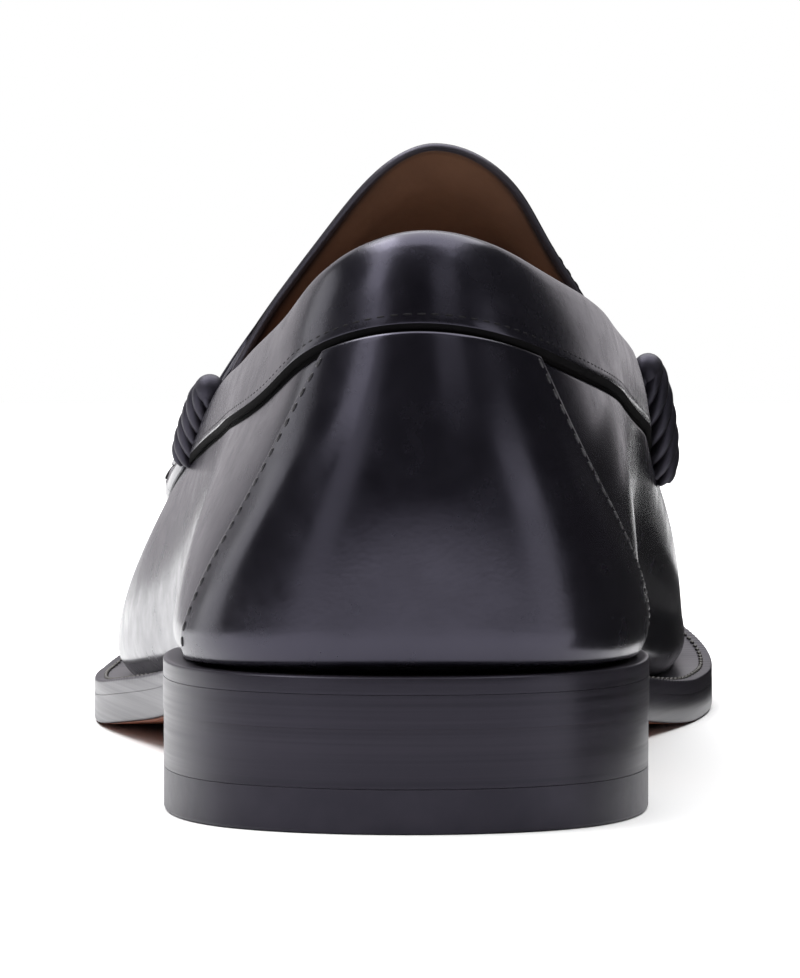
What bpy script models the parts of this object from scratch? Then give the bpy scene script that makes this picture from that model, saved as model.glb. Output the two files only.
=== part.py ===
"""Left tassel loafer on a leather sole, worked out from one table of last sections.

The toe points along +Y, the inner side of the foot is +X and the floor is z = 0.
Tables and sizes are in millimetres; meshes are written in metres.
"""
import math
from collections import Counter, namedtuple

import bmesh
import bpy
import numpy as np

MM = 0.001

# Driving sizes
SHOE_LENGTH = 298.0
GAP = 0.35
UPPER_WALL = 2.2
FEATHER_TUCK = 2.0
FEATHER_HEIGHT = 5.0
WELT_THICK = 2.2
WELT_WIDTH = 15.0
WELT_STEP = 0.4
SOLE_THICK = 4.6
SOLE_EDGE_ROUND = 0.8
HEEL_LENGTH = 71.0
HEEL_INSET = 0.2
HEEL_TAPER = 0.15
HEEL_BREAST_BOW = 4.0
LIFT_HEIGHT = 6.2
LIFT_EDGE_ROUND = 0.5
INSOLE_THICK = 3.0
INSOLE_MARGIN = 1.1
COUNTER_GAP = 0.55
COUNTER_THICK = 0.9
BAND_THICK = 1.4
APRON_THICK = 1.2
APRON_LIP = 1.1
LIP_FADE = 8.0
STRAP_GAP = 0.35
STRAP_THICK = 1.2
ROLL_RADIUS = 2.8
ROLL_CLEAR = 1.0
ROLL_WRAPS = 5
ROLL_WRAP_DEPTH = 0.45
TASSEL_STRIPS = 11

# Sections of the last from heel to toe: the sole edge and its flange, then the rib that rises from it
Section = namedtuple(
    "Section",
    "name y lateral medial flange ridge_y fan wall_lateral wall_medial"
    " crown_lateral crown_medial flare_lateral flare_medial",
)
LAST = [
    Section("heel_back", 0.0, 0.0, 0.0, 1.8, 42.0, 1.00, 0.60, 0.60, 0.82, 0.82, 0.8, 0.8),
    Section("heel_corner", 9.5, 24.0, 23.6, 1.2, 46.0, 0.80, 0.37, 0.39, 0.47, 0.68, -1.1, -0.9),
    Section("heel_side", 34.0, 34.0, 33.6, 0.9, 60.0, 0.25, 0.30, 0.32, 0.30, 0.66, -1.7, -1.3),
    Section("heel_breast", 70.0, 33.4, 32.6, 1.2, 82.0, 0.00, 0.32, 0.36, 0.30, 0.80, 1.6, 4.2),
    Section("waist", 107.0, 34.4, 30.4, 2.4, 104.0, 0.00, 0.36, 0.42, 0.36, 0.92, 5.4, 12.0),
    Section("throat", 145.0, 42.0, 35.6, 3.6, 126.0, 0.00, 0.30, 0.30, 0.36, 0.73, 6.6, 13.6),
    Section("ball_lateral", 188.0, 50.6, 46.4, 4.4, 168.0, 0.00, 0.32, 0.30, 0.44, 0.64, 6.0, 8.9),
    Section("ball_medial", 216.0, 50.8, 50.6, 4.6, 198.0, 0.00, 0.39, 0.38, 0.43, 0.50, 4.1, 2.4),
    Section("toe_start", 248.0, 44.6, 49.8, 4.6, 230.0, 0.10, 0.48, 0.50, 0.46, 0.49, 2.4, 2.4),
    Section("toe_side", 275.0, 30.6, 40.2, 4.5, 258.0, 0.45, 0.56, 0.56, 0.55, 0.55, 2.0, 2.0),
    Section("toe_corner", 292.0, 13.6, 23.2, 4.4, 269.0, 0.85, 0.60, 0.60, 0.62, 0.62, 2.0, 2.0),
    Section("toe_tip", SHOE_LENGTH, -5.0, 5.0, 4.4, 270.5, 1.00, 0.62, 0.62, 0.64, 0.64, 2.0, 2.0),
]
THROAT_ROW = 5

# Heights at those sections of two lines on the upper: the seam under collar and apron, and the topline
Line = namedtuple("Line", "seam_lateral seam_medial top_lateral top_medial")
LINES = [
    Line(69.0, 69.0, 82.0, 82.0),
    Line(62.8, 64.8, 74.2, 77.6),
    Line(56.6, 60.2, 68.2, 72.8),
    Line(53.0, 56.4, 63.0, 68.2),
    Line(50.2, 52.4, 60.0, 64.2),
    Line(45.6, 47.6, 56.6, 61.0),
    Line(36.5, 38.0, 50.0, 51.0),
    Line(32.5, 34.5, 43.5, 44.5),
    Line(31.5, 32.5, 39.0, 39.5),
    Line(33.0, 33.4, 37.0, 37.2),
    Line(34.2, 34.4, 36.8, 36.9),
    Line(34.6, 34.6, 36.8, 36.8),
]

# Centre line over the top of the last
Ridge = namedtuple("Ridge", "y x z")
RIDGE = [
    Ridge(42.0, 2.6, 99.0),
    Ridge(80.0, 2.8, 102.0),
    Ridge(104.0, 3.4, 101.0),
    Ridge(126.0, 4.2, 92.8),
    Ridge(146.0, 4.8, 82.0),
    Ridge(168.0, 5.0, 69.5),
    Ridge(198.0, 5.0, 56.5),
    Ridge(230.0, 5.0, 46.8),
    Ridge(258.0, 5.0, 41.0),
    Ridge(270.5, 5.0, 38.8),
]

# Underside of the outsole from heel to toe
Ground = namedtuple("Ground", "y z")
GROUND = [
    Ground(0.0, 14.4),
    Ground(36.0, 14.3),
    Ground(70.0, 13.6),
    Ground(105.0, 9.2),
    Ground(135.0, 5.0),
    Ground(162.0, 2.2),
    Ground(180.0, 0.6),
    Ground(192.0, 0.0),
    Ground(216.0, 0.0),
    Ground(242.0, 2.0),
    Ground(266.0, 5.6),
    Ground(SHOE_LENGTH, 12.0),
]
FOREFOOT_FLAT = (192.0, 216.0)

# Local fullness of the last: where it is greatest, how far it reaches round and up, and how far out it goes
Swell = namedtuple("Swell", "side at rise reach_at reach_rise out")
SWELLS = [
    Swell("lateral", 46.0, 0.40, 32.0, 0.18, -2.4),
    Swell("medial", 148.0, 0.32, 48.0, 0.13, 3.4),
    Swell("medial", 160.0, 0.67, 32.0, 0.12, -2.2),
    Swell("lateral", 164.0, 0.68, 32.0, 0.16, -1.6),
]

# Edge of the heel counter: how far from the back centre at shares of the height below the collar band
Edge = namedtuple("Edge", "share lateral medial")
COUNTER_EDGE = [Edge(0.0, 45.0, 75.0), Edge(0.35, 38.5, 54.0), Edge(0.7, 25.5, 33.5), Edge(1.0, 14.0, 22.5)]

# Strap: how far its two edges lie in front of the throat, at the rolls and on the ridge
STRAP_BACK = (16.0, 11.0)
STRAP_FRONT = (26.0, 33.0)
STRAP_SWEEP = 1.5
STRAP_END = 0.02

# Rolls: how far the upper and lower ends lie in front of the throat, below the topline and above the seam,
# and how far the upper end stands off
Roll = namedtuple("Roll", "upper lower below_top above_seam stand_off")
ROLLS = {"lateral": Roll(1.0, 9.0, 0.8, 0.2, 0.8), "medial": Roll(2.0, 10.0, 2.4, -4.4, 3.4)}
ROLL_END = 0.55
# How many roll clearances lie between a roll's axis and the end of the band behind it or the apron above it
BAND_STOP = 1.7
APRON_STOP = 1.25

# Tassel from the knot outwards
Tassel = namedtuple("Tassel", "along half_width half_thick flute")
TASSEL = [
    Tassel(0.0, 1.4, 1.1, 0.0),
    Tassel(9.0, 1.5, 1.2, 0.0),
    Tassel(10.0, 3.4, 2.6, 0.0),
    Tassel(14.5, 4.6, 3.5, 0.0),
    Tassel(17.0, 3.5, 2.7, 0.0),
    Tassel(18.5, 4.8, 3.4, 0.10),
    Tassel(30.0, 6.6, 3.6, 0.16),
    Tassel(42.0, 7.8, 3.3, 0.20),
]
TASSEL_START = 40.0
TASSEL_RISE = (0.955, 0.76)
KNOT_AT = 36.5
KNOT_HALF = (4.2, 2.2, 2.6)

# Counts of facets
RIBS_COLLAR = 24
RIBS_VAMP = 20
LEVELS_WALL = (0.0, 0.05, 0.13, 0.3, 0.52, 0.76, 1.0)
LEVELS_COUNTER = (0.05, 0.13, 0.3, 0.52, 0.76, 0.97)
LEVELS_BAND = (0.0, 0.5, 1.0)
LEVELS_TOP = (0.0, 0.18, 0.36, 0.66, 0.87, 1.0)
LEVELS_APRON = (0.0, 0.07, 0.14, 0.25, 0.36, 0.47, 0.58, 0.68, 0.77, 0.84, 0.91, 1.0)
STEPS_COUNTER = 13
STEPS_STRAP = 5
STEPS_KNOT = 7
STEPS_HEEL = 17
HEEL_BOW_ROWS = 2
SIDES_ROLL = 12
SIDES_KNOT = 10
SEARCH_STEPS = 161
TINY = 0.01

LEATHER = (0.012, 0.011, 0.014)
SOLE_EDGE = (0.016, 0.014, 0.015)
SOLE_UNDER = (0.30, 0.10, 0.05)
BOARD = (0.28, 0.13, 0.06)
RUBBER = (0.02, 0.02, 0.022)


def natural_spline(knots, values):
    """A smooth curve through table rows, straight at both ends."""
    knots = np.asarray(knots, float)
    values = np.asarray(values, float)
    step = np.diff(knots)
    count = len(knots)
    matrix = np.eye(count)
    right = np.zeros_like(values)
    for i in range(1, count - 1):
        matrix[i, i - 1 : i + 2] = step[i - 1], 2 * (step[i - 1] + step[i]), step[i]
        right[i] = 6 * ((values[i + 1] - values[i]) / step[i] - (values[i] - values[i - 1]) / step[i - 1])
    bend = np.linalg.solve(matrix, right)
    return lambda at: spline_value(knots, values, bend, at)


def closed_spline(knots, values):
    """A smooth closed curve through table rows; the last knot is the first row again."""
    step = np.diff(knots)
    count = len(step)
    matrix = np.zeros((count, count))
    right = np.zeros_like(values)
    for i in range(count):
        after = (i + 1) % count
        matrix[i, i - 1] += step[i - 1]
        matrix[i, i] += 2 * (step[i - 1] + step[i])
        matrix[i, after] += step[i]
        right[i] = 6 * ((values[after] - values[i]) / step[i] - (values[i] - values[i - 1]) / step[i - 1])
    bend = np.linalg.solve(matrix, right)
    ring = np.vstack([values, values[:1]])
    bends = np.vstack([bend, bend[:1]])
    return lambda at: spline_value(knots, ring, bends, np.mod(at, knots[-1]))


def spline_value(knots, values, bend, at):
    at = np.atleast_1d(np.asarray(at, float))
    i = np.clip(np.searchsorted(knots, at, side="right") - 1, 0, len(knots) - 2)
    span = knots[i + 1] - knots[i]
    left = (knots[i + 1] - at) / span
    right = (at - knots[i]) / span
    if values.ndim > 1:
        left, right, span = left[:, None], right[:, None], span[:, None]
    curve = (left**3 - left) * bend[i] + (right**3 - right) * bend[i + 1]
    return left * values[i] + right * values[i + 1] + curve * span**2 / 6


def loop_rows():
    """The sections as one ring of rows: heel to toe on the lateral side, then back on the medial side."""
    rows = []
    pairs = list(zip(LAST, LINES))
    for section, line in pairs:
        rows.append(
            (-section.lateral, section.y, section.flange, section.ridge_y, section.fan, section.wall_lateral,
             section.crown_lateral, section.flare_lateral, line.seam_lateral, line.top_lateral)
        )
    for section, line in pairs[-2:0:-1]:
        rows.append(
            (section.medial, section.y, section.flange, section.ridge_y, section.fan, section.wall_medial,
             section.crown_medial, section.flare_medial, line.seam_medial, line.top_medial)
        )
    return np.array(rows)


def loop_knots(rows):
    """Distances along the sole edge, the same on both sides so that the two halves meet on the ridge."""
    edge = np.vstack([rows, rows[:1]])[:, :2]
    chord = np.linalg.norm(np.diff(edge, axis=0), axis=1)
    spans = len(LAST) - 1
    mean = (chord[:spans] + chord[spans:][::-1]) / 2
    return np.concatenate([[0.0], np.cumsum(np.concatenate([mean, mean[::-1]]))])


ROWS = loop_rows()
KNOTS = loop_knots(ROWS)
AROUND = KNOTS[-1]
TOE_AT = AROUND / 2
THROAT_AT = KNOTS[THROAT_ROW]
LOOP = closed_spline(KNOTS, ROWS)
RIDGE_LINE = natural_spline([r.y for r in RIDGE], [(r.x, r.z) for r in RIDGE])
GROUND_LINE = natural_spline([g.y for g in GROUND], [g.z for g in GROUND])
X, Y, FLANGE, RIDGE_Y, FAN, WALL, CROWN, FLARE, SEAM, TOP = range(10)
SIDES = ("lateral", "medial")


def ground_z(y):
    """Height of the outsole's underside, with the forefoot spot kept flat."""
    y = np.asarray(y, float)
    flat = (y > FOREFOOT_FLAT[0]) & (y < FOREFOOT_FLAT[1])
    return np.where(flat, 0.0, np.maximum(GROUND_LINE(y), 0.0))


def welt_top_z(y):
    return ground_z(y) + SOLE_THICK + GAP + WELT_THICK


def on_side(side, at):
    """Place on the ring of a distance from the heel along one side."""
    return at if side == "lateral" else AROUND - at


def outline(at, inset=0.0):
    """Points of the sole edge in plan, moved inwards, and the way out from each."""
    at = np.atleast_1d(np.asarray(at, float))
    along = LOOP(at + TINY)[:, :2] - LOOP(at - TINY)[:, :2]
    outward = np.stack([-along[:, 1], along[:, 0]], axis=1)
    outward /= np.linalg.norm(outward, axis=1)[:, None]
    return LOOP(at)[:, :2] - np.asarray(inset, float).reshape(-1, 1) * outward, outward


def ridge_slope(y):
    return (RIDGE_LINE(y + TINY)[:, 1] - RIDGE_LINE(y - TINY)[:, 1]) / (2 * TINY)


def last_point(at, rise):
    """A point of the last: how far round the sole edge, and how far up the rib (0 foot, 1 ridge)."""
    at = np.atleast_1d(np.asarray(at, float))
    row = LOOP(at)
    plan, outward = outline(at, row[:, FLANGE])
    foot = np.column_stack([plan, welt_top_z(plan[:, 1]) + GAP])
    ridge_y = row[:, RIDGE_Y]
    ridge = np.column_stack([RIDGE_LINE(ridge_y)[:, 0], ridge_y, RIDGE_LINE(ridge_y)[:, 1]])
    wall = foot.copy()
    wall[:, :2] += row[:, FLARE, None] * outward
    wall[:, 2] += row[:, WALL] * (ridge[:, 2] - foot[:, 2])
    reach = row[:, CROWN, None] * (foot[:, :2] - ridge[:, :2])
    reach[:, 1] *= row[:, FAN]
    crown = ridge + np.column_stack([reach, ridge_slope(ridge_y) * reach[:, 1]])
    up = np.asarray(rise, float).reshape(-1, 1)
    down = 1 - up
    point = down**3 * foot + 3 * down**2 * up * wall + 3 * down * up**2 * crown + up**3 * ridge
    for swell in SWELLS:
        away = np.mod(at - on_side(swell.side, swell.at) + TOE_AT, AROUND) - TOE_AT
        full = np.exp(-((away / swell.reach_at) ** 2) - ((up[:, 0] - swell.rise) / swell.reach_rise) ** 2)
        point[:, :2] += (swell.out * full * (1 - up[:, 0] ** 8))[:, None] * outward
    tuck = FEATHER_TUCK * np.clip(1 - (point[:, 2] - foot[:, 2]) / FEATHER_HEIGHT, 0, 1) ** 2
    point[:, :2] -= tuck[:, None] * outward
    return point


def last_normal(at, rise):
    """The way out of the last at such a point; on the ridge it is square to the ridge line."""
    at = np.atleast_1d(np.asarray(at, float))
    rise = np.asarray(rise, float) * np.ones(len(at))
    step_at, step_rise = 0.4, 0.004
    inner = np.clip(rise, step_rise, 1 - 3 * step_rise)
    along = last_point(at + step_at, inner) - last_point(at - step_at, inner)
    climb = last_point(at, inner + step_rise) - last_point(at, inner - step_rise)
    normal = np.cross(climb, along)
    ridge_y = LOOP(at)[:, RIDGE_Y]
    on_ridge = np.column_stack([np.zeros(len(at)), -ridge_slope(ridge_y), np.ones(len(at))])
    normal = np.where((rise > 1 - step_rise)[:, None], on_ridge, normal)
    return normal / np.linalg.norm(normal, axis=1)[:, None]


def off_last(at, rise, distance):
    return last_point(at, rise) + np.asarray(distance, float).reshape(-1, 1) * last_normal(at, rise)


def rise_at_height(at, height):
    """How far up each rib a given height is."""
    steps = np.linspace(0.0, 1.0, SEARCH_STEPS)
    found = []
    for one_at, one_height in zip(np.atleast_1d(at), np.atleast_1d(height)):
        z = last_point(np.full(SEARCH_STEPS, one_at), steps)[:, 2]
        found.append(np.interp(one_height, np.maximum.accumulate(z), steps))
    return np.array(found)


def seam_rise(at):
    return rise_at_height(at, LOOP(at)[:, SEAM])


def top_rise(at):
    return rise_at_height(at, LOOP(at)[:, TOP])


def mix(low, high, share):
    return low + (high - low) * share


# Sheets drawn on the last, then given a thickness


class Sheet:
    """Points on the last, each met once, and the quads between them."""

    def __init__(self):
        self.points = []
        self.extra = []
        self.faces = []
        self.known = {}

    def point(self, side, at, rise, extra=0.0):
        """The number of a point; both sides share the points on the centre line."""
        shared = at < TINY or at > TOE_AT - TINY or rise > 1 - 1e-6
        key = ("centre" if shared else side, round(at, 4), round(rise, 6))
        if key not in self.known:
            self.known[key] = len(self.points)
            self.points.append((on_side(side, at), rise))
            self.extra.append(extra)
        return self.known[key]

    def grid(self, rows):
        """Quads between rows of point numbers."""
        for low, high in zip(rows[:-1], rows[1:]):
            for i in range(len(low) - 1):
                face = (low[i], low[i + 1], high[i + 1], high[i])
                if len(set(face)) == 4:
                    self.faces.append(face)

    def solid(self, inner, outer):
        """Vertices and faces of the sheet between two distances off the last."""
        at, rise = np.array(self.points).T
        extra = np.array(self.extra)
        count = len(at)
        outside = off_last(at, rise, outer + extra)
        inside = off_last(at, rise, np.full(count, inner))
        verts = np.vstack([outside, inside])
        faces = [tuple(f) for f in self.faces]
        edges = Counter()
        for face in self.faces:
            for a, b in zip(face, face[1:] + face[:1]):
                edges[frozenset((a, b))] += 1
        for face in self.faces:
            faces.append(tuple(i + count for i in reversed(face)))
            for a, b in zip(face, face[1:] + face[:1]):
                if edges[frozenset((a, b))] == 1:
                    faces.append((b, a, a + count, b + count))
        return verts, faces


def side_rise(side, at, low_rise, high_rise, shares):
    place = on_side(side, at)
    low = low_rise(place)[0] if callable(low_rise) else low_rise
    high = high_rise(place)[0] if callable(high_rise) else high_rise
    return [mix(low, high, s) for s in shares]


def upper_sheet():
    """The whole upper: walls up to the seam, collar up to the topline, and the vamp over the ridge."""
    sheet = Sheet()
    for side in SIDES:
        rows = []
        for at in np.linspace(0.0, THROAT_AT, RIBS_COLLAR + 1):
            rises = side_rise(side, at, 0.0, seam_rise, LEVELS_WALL)
            rises += side_rise(side, at, seam_rise, top_rise, LEVELS_BAND)[1:]
            rows.append([sheet.point(side, at, r) for r in rises])
        sheet.grid(rows)
        rows = []
        for at in np.linspace(THROAT_AT, TOE_AT, RIBS_VAMP + 1):
            rises = side_rise(side, at, 0.0, seam_rise, LEVELS_WALL)
            rises += side_rise(side, at, seam_rise, top_rise, LEVELS_BAND)[1:]
            rises += side_rise(side, at, top_rise, 1.0, LEVELS_TOP)[1:]
            rows.append([sheet.point(side, at, r) for r in rises])
        sheet.grid(rows)
    return sheet


def roll_height(side, at):
    """Height of the roll's axis, from the topline at its upper end down to the seam at its lower end."""
    ends = ROLLS[side]
    share = (at - THROAT_AT - ends.upper) / (ends.lower - ends.upper)
    high = LOOP(on_side(side, THROAT_AT + ends.upper))[0, TOP] - ends.below_top
    low = LOOP(on_side(side, THROAT_AT + ends.lower))[0, SEAM] + ends.above_seam
    return mix(high, low, share)


def roll_clearance():
    """How far above or behind the roll's axis the pieces beside it stop."""
    return ROLL_RADIUS + ROLL_CLEAR


def collar_sheet():
    """The band between seam and topline, from one roll round the back to the other."""
    sheet = Sheet()
    for side in SIDES:
        rows = []
        for share in np.linspace(0.0, 1.0, RIBS_COLLAR + 1):
            row = []
            for level in LEVELS_BAND:
                roll_at = THROAT_AT + mix(ROLLS[side].lower, ROLLS[side].upper, level)
                at = share * (roll_at - BAND_STOP * roll_clearance())
                row.append(sheet.point(side, at, side_rise(side, at, seam_rise, top_rise, [level])[0]))
            rows.append(row)
        sheet.grid(rows)
    return sheet


def counter_sheet():
    """The back patch: its edges spread from the collar band down to the sole."""
    sheet = Sheet()
    for side in SIDES:
        reach = natural_spline([e.share for e in COUNTER_EDGE], [getattr(e, side) for e in COUNTER_EDGE])
        rows = []
        for step in np.linspace(0.0, 1.0, STEPS_COUNTER):
            row = []
            for share in LEVELS_COUNTER:
                at = step * reach(share)[0]
                row.append(sheet.point(side, at, side_rise(side, at, 0.0, seam_rise, [share])[0]))
            rows.append(row)
        sheet.grid(rows)
    return sheet


def above_roll(side, at):
    """Rise at which apron and strap begin: the seam, or just above the roll where it lies."""
    place = on_side(side, at)
    height = max(LOOP(place)[0, SEAM], roll_height(side, at) + APRON_STOP * roll_clearance())
    return rise_at_height(place, height)[0]


def apron_sheet():
    """The plug of the vamp and the tongue above it, with a raised lip in front of the strap."""
    sheet = Sheet()
    for side in SIDES:
        rows = []
        for at in np.linspace(THROAT_AT, TOE_AT, RIBS_VAMP + 1):
            low = above_roll(side, at)
            in_front = np.clip((at - THROAT_AT - STRAP_FRONT[0]) / LIP_FADE - 1, 0, 1)
            row = []
            for share in LEVELS_APRON:
                lip = APRON_LIP * in_front if share == LEVELS_APRON[1] else 0.0
                row.append(sheet.point(side, at, mix(low, 1.0, share), lip))
            rows.append(row)
        sheet.grid(rows)
    return sheet


def strap_sheet():
    """The saddle strap, narrow at the rolls and wide over the instep."""
    sheet = Sheet()
    for side in SIDES:
        rows = []
        for share in LEVELS_APRON:
            row = []
            for across in np.linspace(0.0, 1.0, STEPS_STRAP):
                ends = [mix(b, f, across) for b, f in zip(STRAP_BACK, STRAP_FRONT)]
                at = THROAT_AT + mix(ends[0], ends[1], share**STRAP_SWEEP)
                row.append(sheet.point(side, at, mix(above_roll(side, at) + STRAP_END, 1.0, share)))
            rows.append(row)
        sheet.grid(rows)
    return sheet


# Round pieces lying on the last


def tube(centres, normals, widths, thicks, sides, flutes=None):
    """A closed tube through centres; each ring has its own width along the surface and thickness off it."""
    centres = np.asarray(centres)
    along = np.gradient(centres, axis=0)
    verts = []
    for i, centre in enumerate(centres):
        normal = normals[i] - along[i] * np.dot(normals[i], along[i]) / np.dot(along[i], along[i])
        normal /= np.linalg.norm(normal)
        across = np.cross(along[i], normal)
        across /= np.linalg.norm(across)
        for k in range(sides):
            angle = 2 * math.pi * k / sides
            swell = 1 + (flutes[i] if flutes else 0.0) * (1 if k % 2 else -1)
            sideways = math.cos(angle) * widths[i] * across
            outwards = math.sin(angle) * thicks[i] * normal
            verts.append(centre + swell * (sideways + outwards))
    faces = []
    for i in range(len(centres) - 1):
        for k in range(sides):
            after = (k + 1) % sides
            faces.append((i * sides + k, i * sides + after, (i + 1) * sides + after, (i + 1) * sides + k))
    for i, centre in ((0, centres[0]), (len(centres) - 1, centres[-1])):
        hub = len(verts)
        verts.append(centre)
        for k in range(sides):
            faces.append((i * sides + k, i * sides + (k + 1) % sides, hub))
    return np.array(verts), faces


def roll(side):
    """The rolled strap end with its cord wraps, lying on the upper from topline to seam."""
    shares = np.linspace(0.0, 1.0, 2 * ROLL_WRAPS + 3)
    at = THROAT_AT + mix(ROLLS[side].upper, ROLLS[side].lower, shares)
    place = np.array([on_side(side, a) for a in at])
    rise = rise_at_height(place, [roll_height(side, a) for a in at])
    radii = []
    for i, share in enumerate(shares):
        end = math.sqrt(max(1 - (2 * share - 1) ** 4, 0.0))
        wrap = -ROLL_WRAP_DEPTH if i % 2 else 0.0
        radii.append(ROLL_RADIUS * mix(ROLL_END, 1.0, end) + wrap)
    lift = ROLLS[side].stand_off * (1 - shares)
    centres = off_last(place, rise, np.array(radii) + GAP + ROLL_WRAP_DEPTH + lift)
    return tube(centres, last_normal(place, rise), radii, radii, SIDES_ROLL)


def tassel(side):
    """A lace end, a cap and a skirt of strips in one solid, lying on the apron."""
    along = np.array([t.along for t in TASSEL])
    shares = along / along[-1]
    at = np.array([on_side(side, THROAT_AT + TASSEL_START + a) for a in along])
    rise = mix(TASSEL_RISE[0], TASSEL_RISE[1], shares)
    thick = np.array([t.half_thick for t in TASSEL])
    lift = GAP + APRON_THICK + GAP + thick * (1 + max(t.flute for t in TASSEL))
    centres = off_last(at, rise, lift)
    widths = [t.half_width for t in TASSEL]
    return tube(centres, last_normal(at, rise), widths, thick, 2 * TASSEL_STRIPS, [t.flute for t in TASSEL])


def knot():
    """The tie in front of the strap."""
    across, along, high = KNOT_HALF
    shares = np.linspace(-1.0, 1.0, STEPS_KNOT)
    at = np.full(len(shares), THROAT_AT + KNOT_AT)
    normal = last_normal(at, np.ones(len(shares)))
    middle = off_last(at[:1], [1.0], GAP + APRON_THICK + GAP + high)[0]
    centres = middle + np.outer(shares * across, (1.0, 0.0, 0.0))
    size = np.sqrt(np.maximum(1 - shares**2, 0.09))
    return tube(centres, normal, along * size, high * size, SIDES_KNOT)


# Flat pieces under the foot


def rungs(stations, inset_of, bow=0.0):
    """Plan points left, middle and right at each station; the last rung may bow back."""
    left = np.array([outline(a, inset_of(a))[0][0] for a in stations])
    right = np.array([outline(AROUND - a, inset_of(a))[0][0] for a in stations])
    middle = (left + right) / 2
    middle[-1, 1] -= bow
    return left, middle, right


def plate(stations, layers, bow=0.0, bow_rows=0):
    """A closed plate between plan outlines; each layer is an inset and a height, from below upwards."""
    verts = []
    rings = []
    closed_toe = stations[-1] > TOE_AT - TINY
    for inset_of, height_of in layers:
        left, middle, right = rungs(stations, inset_of, bow)
        for back in range(1, bow_rows + 1):
            middle[-1 - back, 1] -= bow * (1 - back / (bow_rows + 1))
        last = len(stations) - 1
        ring = {}
        for i in range(len(stations)):
            single = i == 0 or (closed_toe and i == last)
            for name, plan in (("left", left), ("middle", middle), ("right", right)):
                if single and name != "left":
                    ring[i, name] = ring[i, "left"]
                    continue
                ring[i, name] = len(verts)
                verts.append((plan[i][0], plan[i][1], float(np.ravel(height_of(plan[i][1]))[0])))
        rings.append(ring)
    faces = []
    count = len(stations)

    def add(*corners):
        kept = []
        for corner in corners:
            if corner not in kept:
                kept.append(corner)
        if len(kept) > 2:
            faces.append(tuple(kept))

    edge = [(i, "left") for i in range(count)]
    if not closed_toe:
        edge.append((count - 1, "middle"))
    edge += [(i, "right") for i in range(count - 1, 0, -1)]
    for low, high in zip(rings[:-1], rings[1:]):
        for a, b in zip(edge, edge[1:] + edge[:1]):
            add(low[a], low[b], high[b], high[a])
    for ring, turn in ((rings[0], 1), (rings[-1], -1)):
        for i in range(count - 1):
            for a, b in (("left", "middle"), ("middle", "right")):
                add(*(ring[i, a], ring[i, b], ring[i + 1, b], ring[i + 1, a])[::turn])
    return np.array(verts), faces


def full_stations():
    return np.concatenate(
        [np.linspace(0.0, THROAT_AT, RIBS_COLLAR + 1)[:-1], np.linspace(THROAT_AT, TOE_AT, RIBS_VAMP + 1)]
    )


def outsole():
    top = SOLE_THICK
    return plate(
        full_stations(),
        [
            (lambda a: SOLE_EDGE_ROUND, ground_z),
            (lambda a: 0.0, lambda y: ground_z(y) + SOLE_EDGE_ROUND),
            (lambda a: 0.0, lambda y: ground_z(y) + top - SOLE_EDGE_ROUND / 2),
            (lambda a: SOLE_EDGE_ROUND / 2, lambda y: ground_z(y) + top),
        ],
    )


def welt():
    """The ring between outsole and upper."""
    half = full_stations()
    around = np.concatenate([half, AROUND - half[-2:0:-1]])
    low = SOLE_THICK + GAP
    high = low + WELT_THICK
    corners = [(WELT_STEP, low), (WELT_STEP, high), (WELT_WIDTH, high), (WELT_WIDTH, low)]
    verts = []
    for at in around:
        for inset, height in corners:
            plan = outline(at, inset)[0][0]
            verts.append((plan[0], plan[1], ground_z(plan[1])[0] + height))
    faces = []
    count = len(around)
    size = len(corners)
    for i in range(count):
        after = (i + 1) % count
        for k in range(size):
            beside = (k + 1) % size
            faces.append((i * size + k, i * size + beside, after * size + beside, after * size + k))
    return np.array(verts), faces


def insole():
    def inset_of(at):
        return LOOP(at)[0, FLANGE] + FEATHER_TUCK + UPPER_WALL + INSOLE_MARGIN

    return plate(
        full_stations(),
        [
            (inset_of, lambda y: welt_top_z(y) + GAP),
            (inset_of, lambda y: welt_top_z(y) + GAP + INSOLE_THICK),
        ],
    )


def heel_stations():
    """Distances from the back centre to the breast, close together at the back."""
    ats = np.linspace(0.0, THROAT_AT, SEARCH_STEPS)
    breast = np.interp(HEEL_LENGTH, outline(ats)[0][:, 1], ats)
    return np.linspace(0.0, breast, STEPS_HEEL)


def heel_inset(height):
    return HEEL_INSET + HEEL_TAPER * (1 - height / GROUND[0].z)


def heel_stack():
    low = LIFT_HEIGHT + GAP
    return plate(
        heel_stations(),
        [
            (lambda a: heel_inset(low), lambda y: low),
            (lambda a: heel_inset(GROUND[0].z), lambda y: ground_z(y) - GAP),
        ],
        HEEL_BREAST_BOW,
        HEEL_BOW_ROWS,
    )


def heel_lift():
    return plate(
        heel_stations(),
        [
            (lambda a: heel_inset(0.0) + LIFT_EDGE_ROUND, lambda y: 0.0),
            (lambda a: heel_inset(0.0), lambda y: LIFT_EDGE_ROUND),
            (lambda a: heel_inset(LIFT_HEIGHT), lambda y: LIFT_HEIGHT),
        ],
        HEEL_BREAST_BOW,
        HEEL_BOW_ROWS,
    )


# Objects


def material(name, colour, roughness):
    made = bpy.data.materials.new(name)
    made.use_nodes = True
    shader = made.node_tree.nodes["Principled BSDF"]
    shader.inputs["Base Color"].default_value = (*colour, 1.0)
    shader.inputs["Roughness"].default_value = roughness
    shader.inputs["Metallic"].default_value = 0.0
    return made


def frame_centre():
    """Plan centre of the sole, so that the frame starts at the bottom centre of the shoe."""
    half = full_stations()
    edge = outline(np.concatenate([half, AROUND - half]))[0]
    return np.array([*(edge.min(axis=0) + edge.max(axis=0)) / 2, 0.0])


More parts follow.
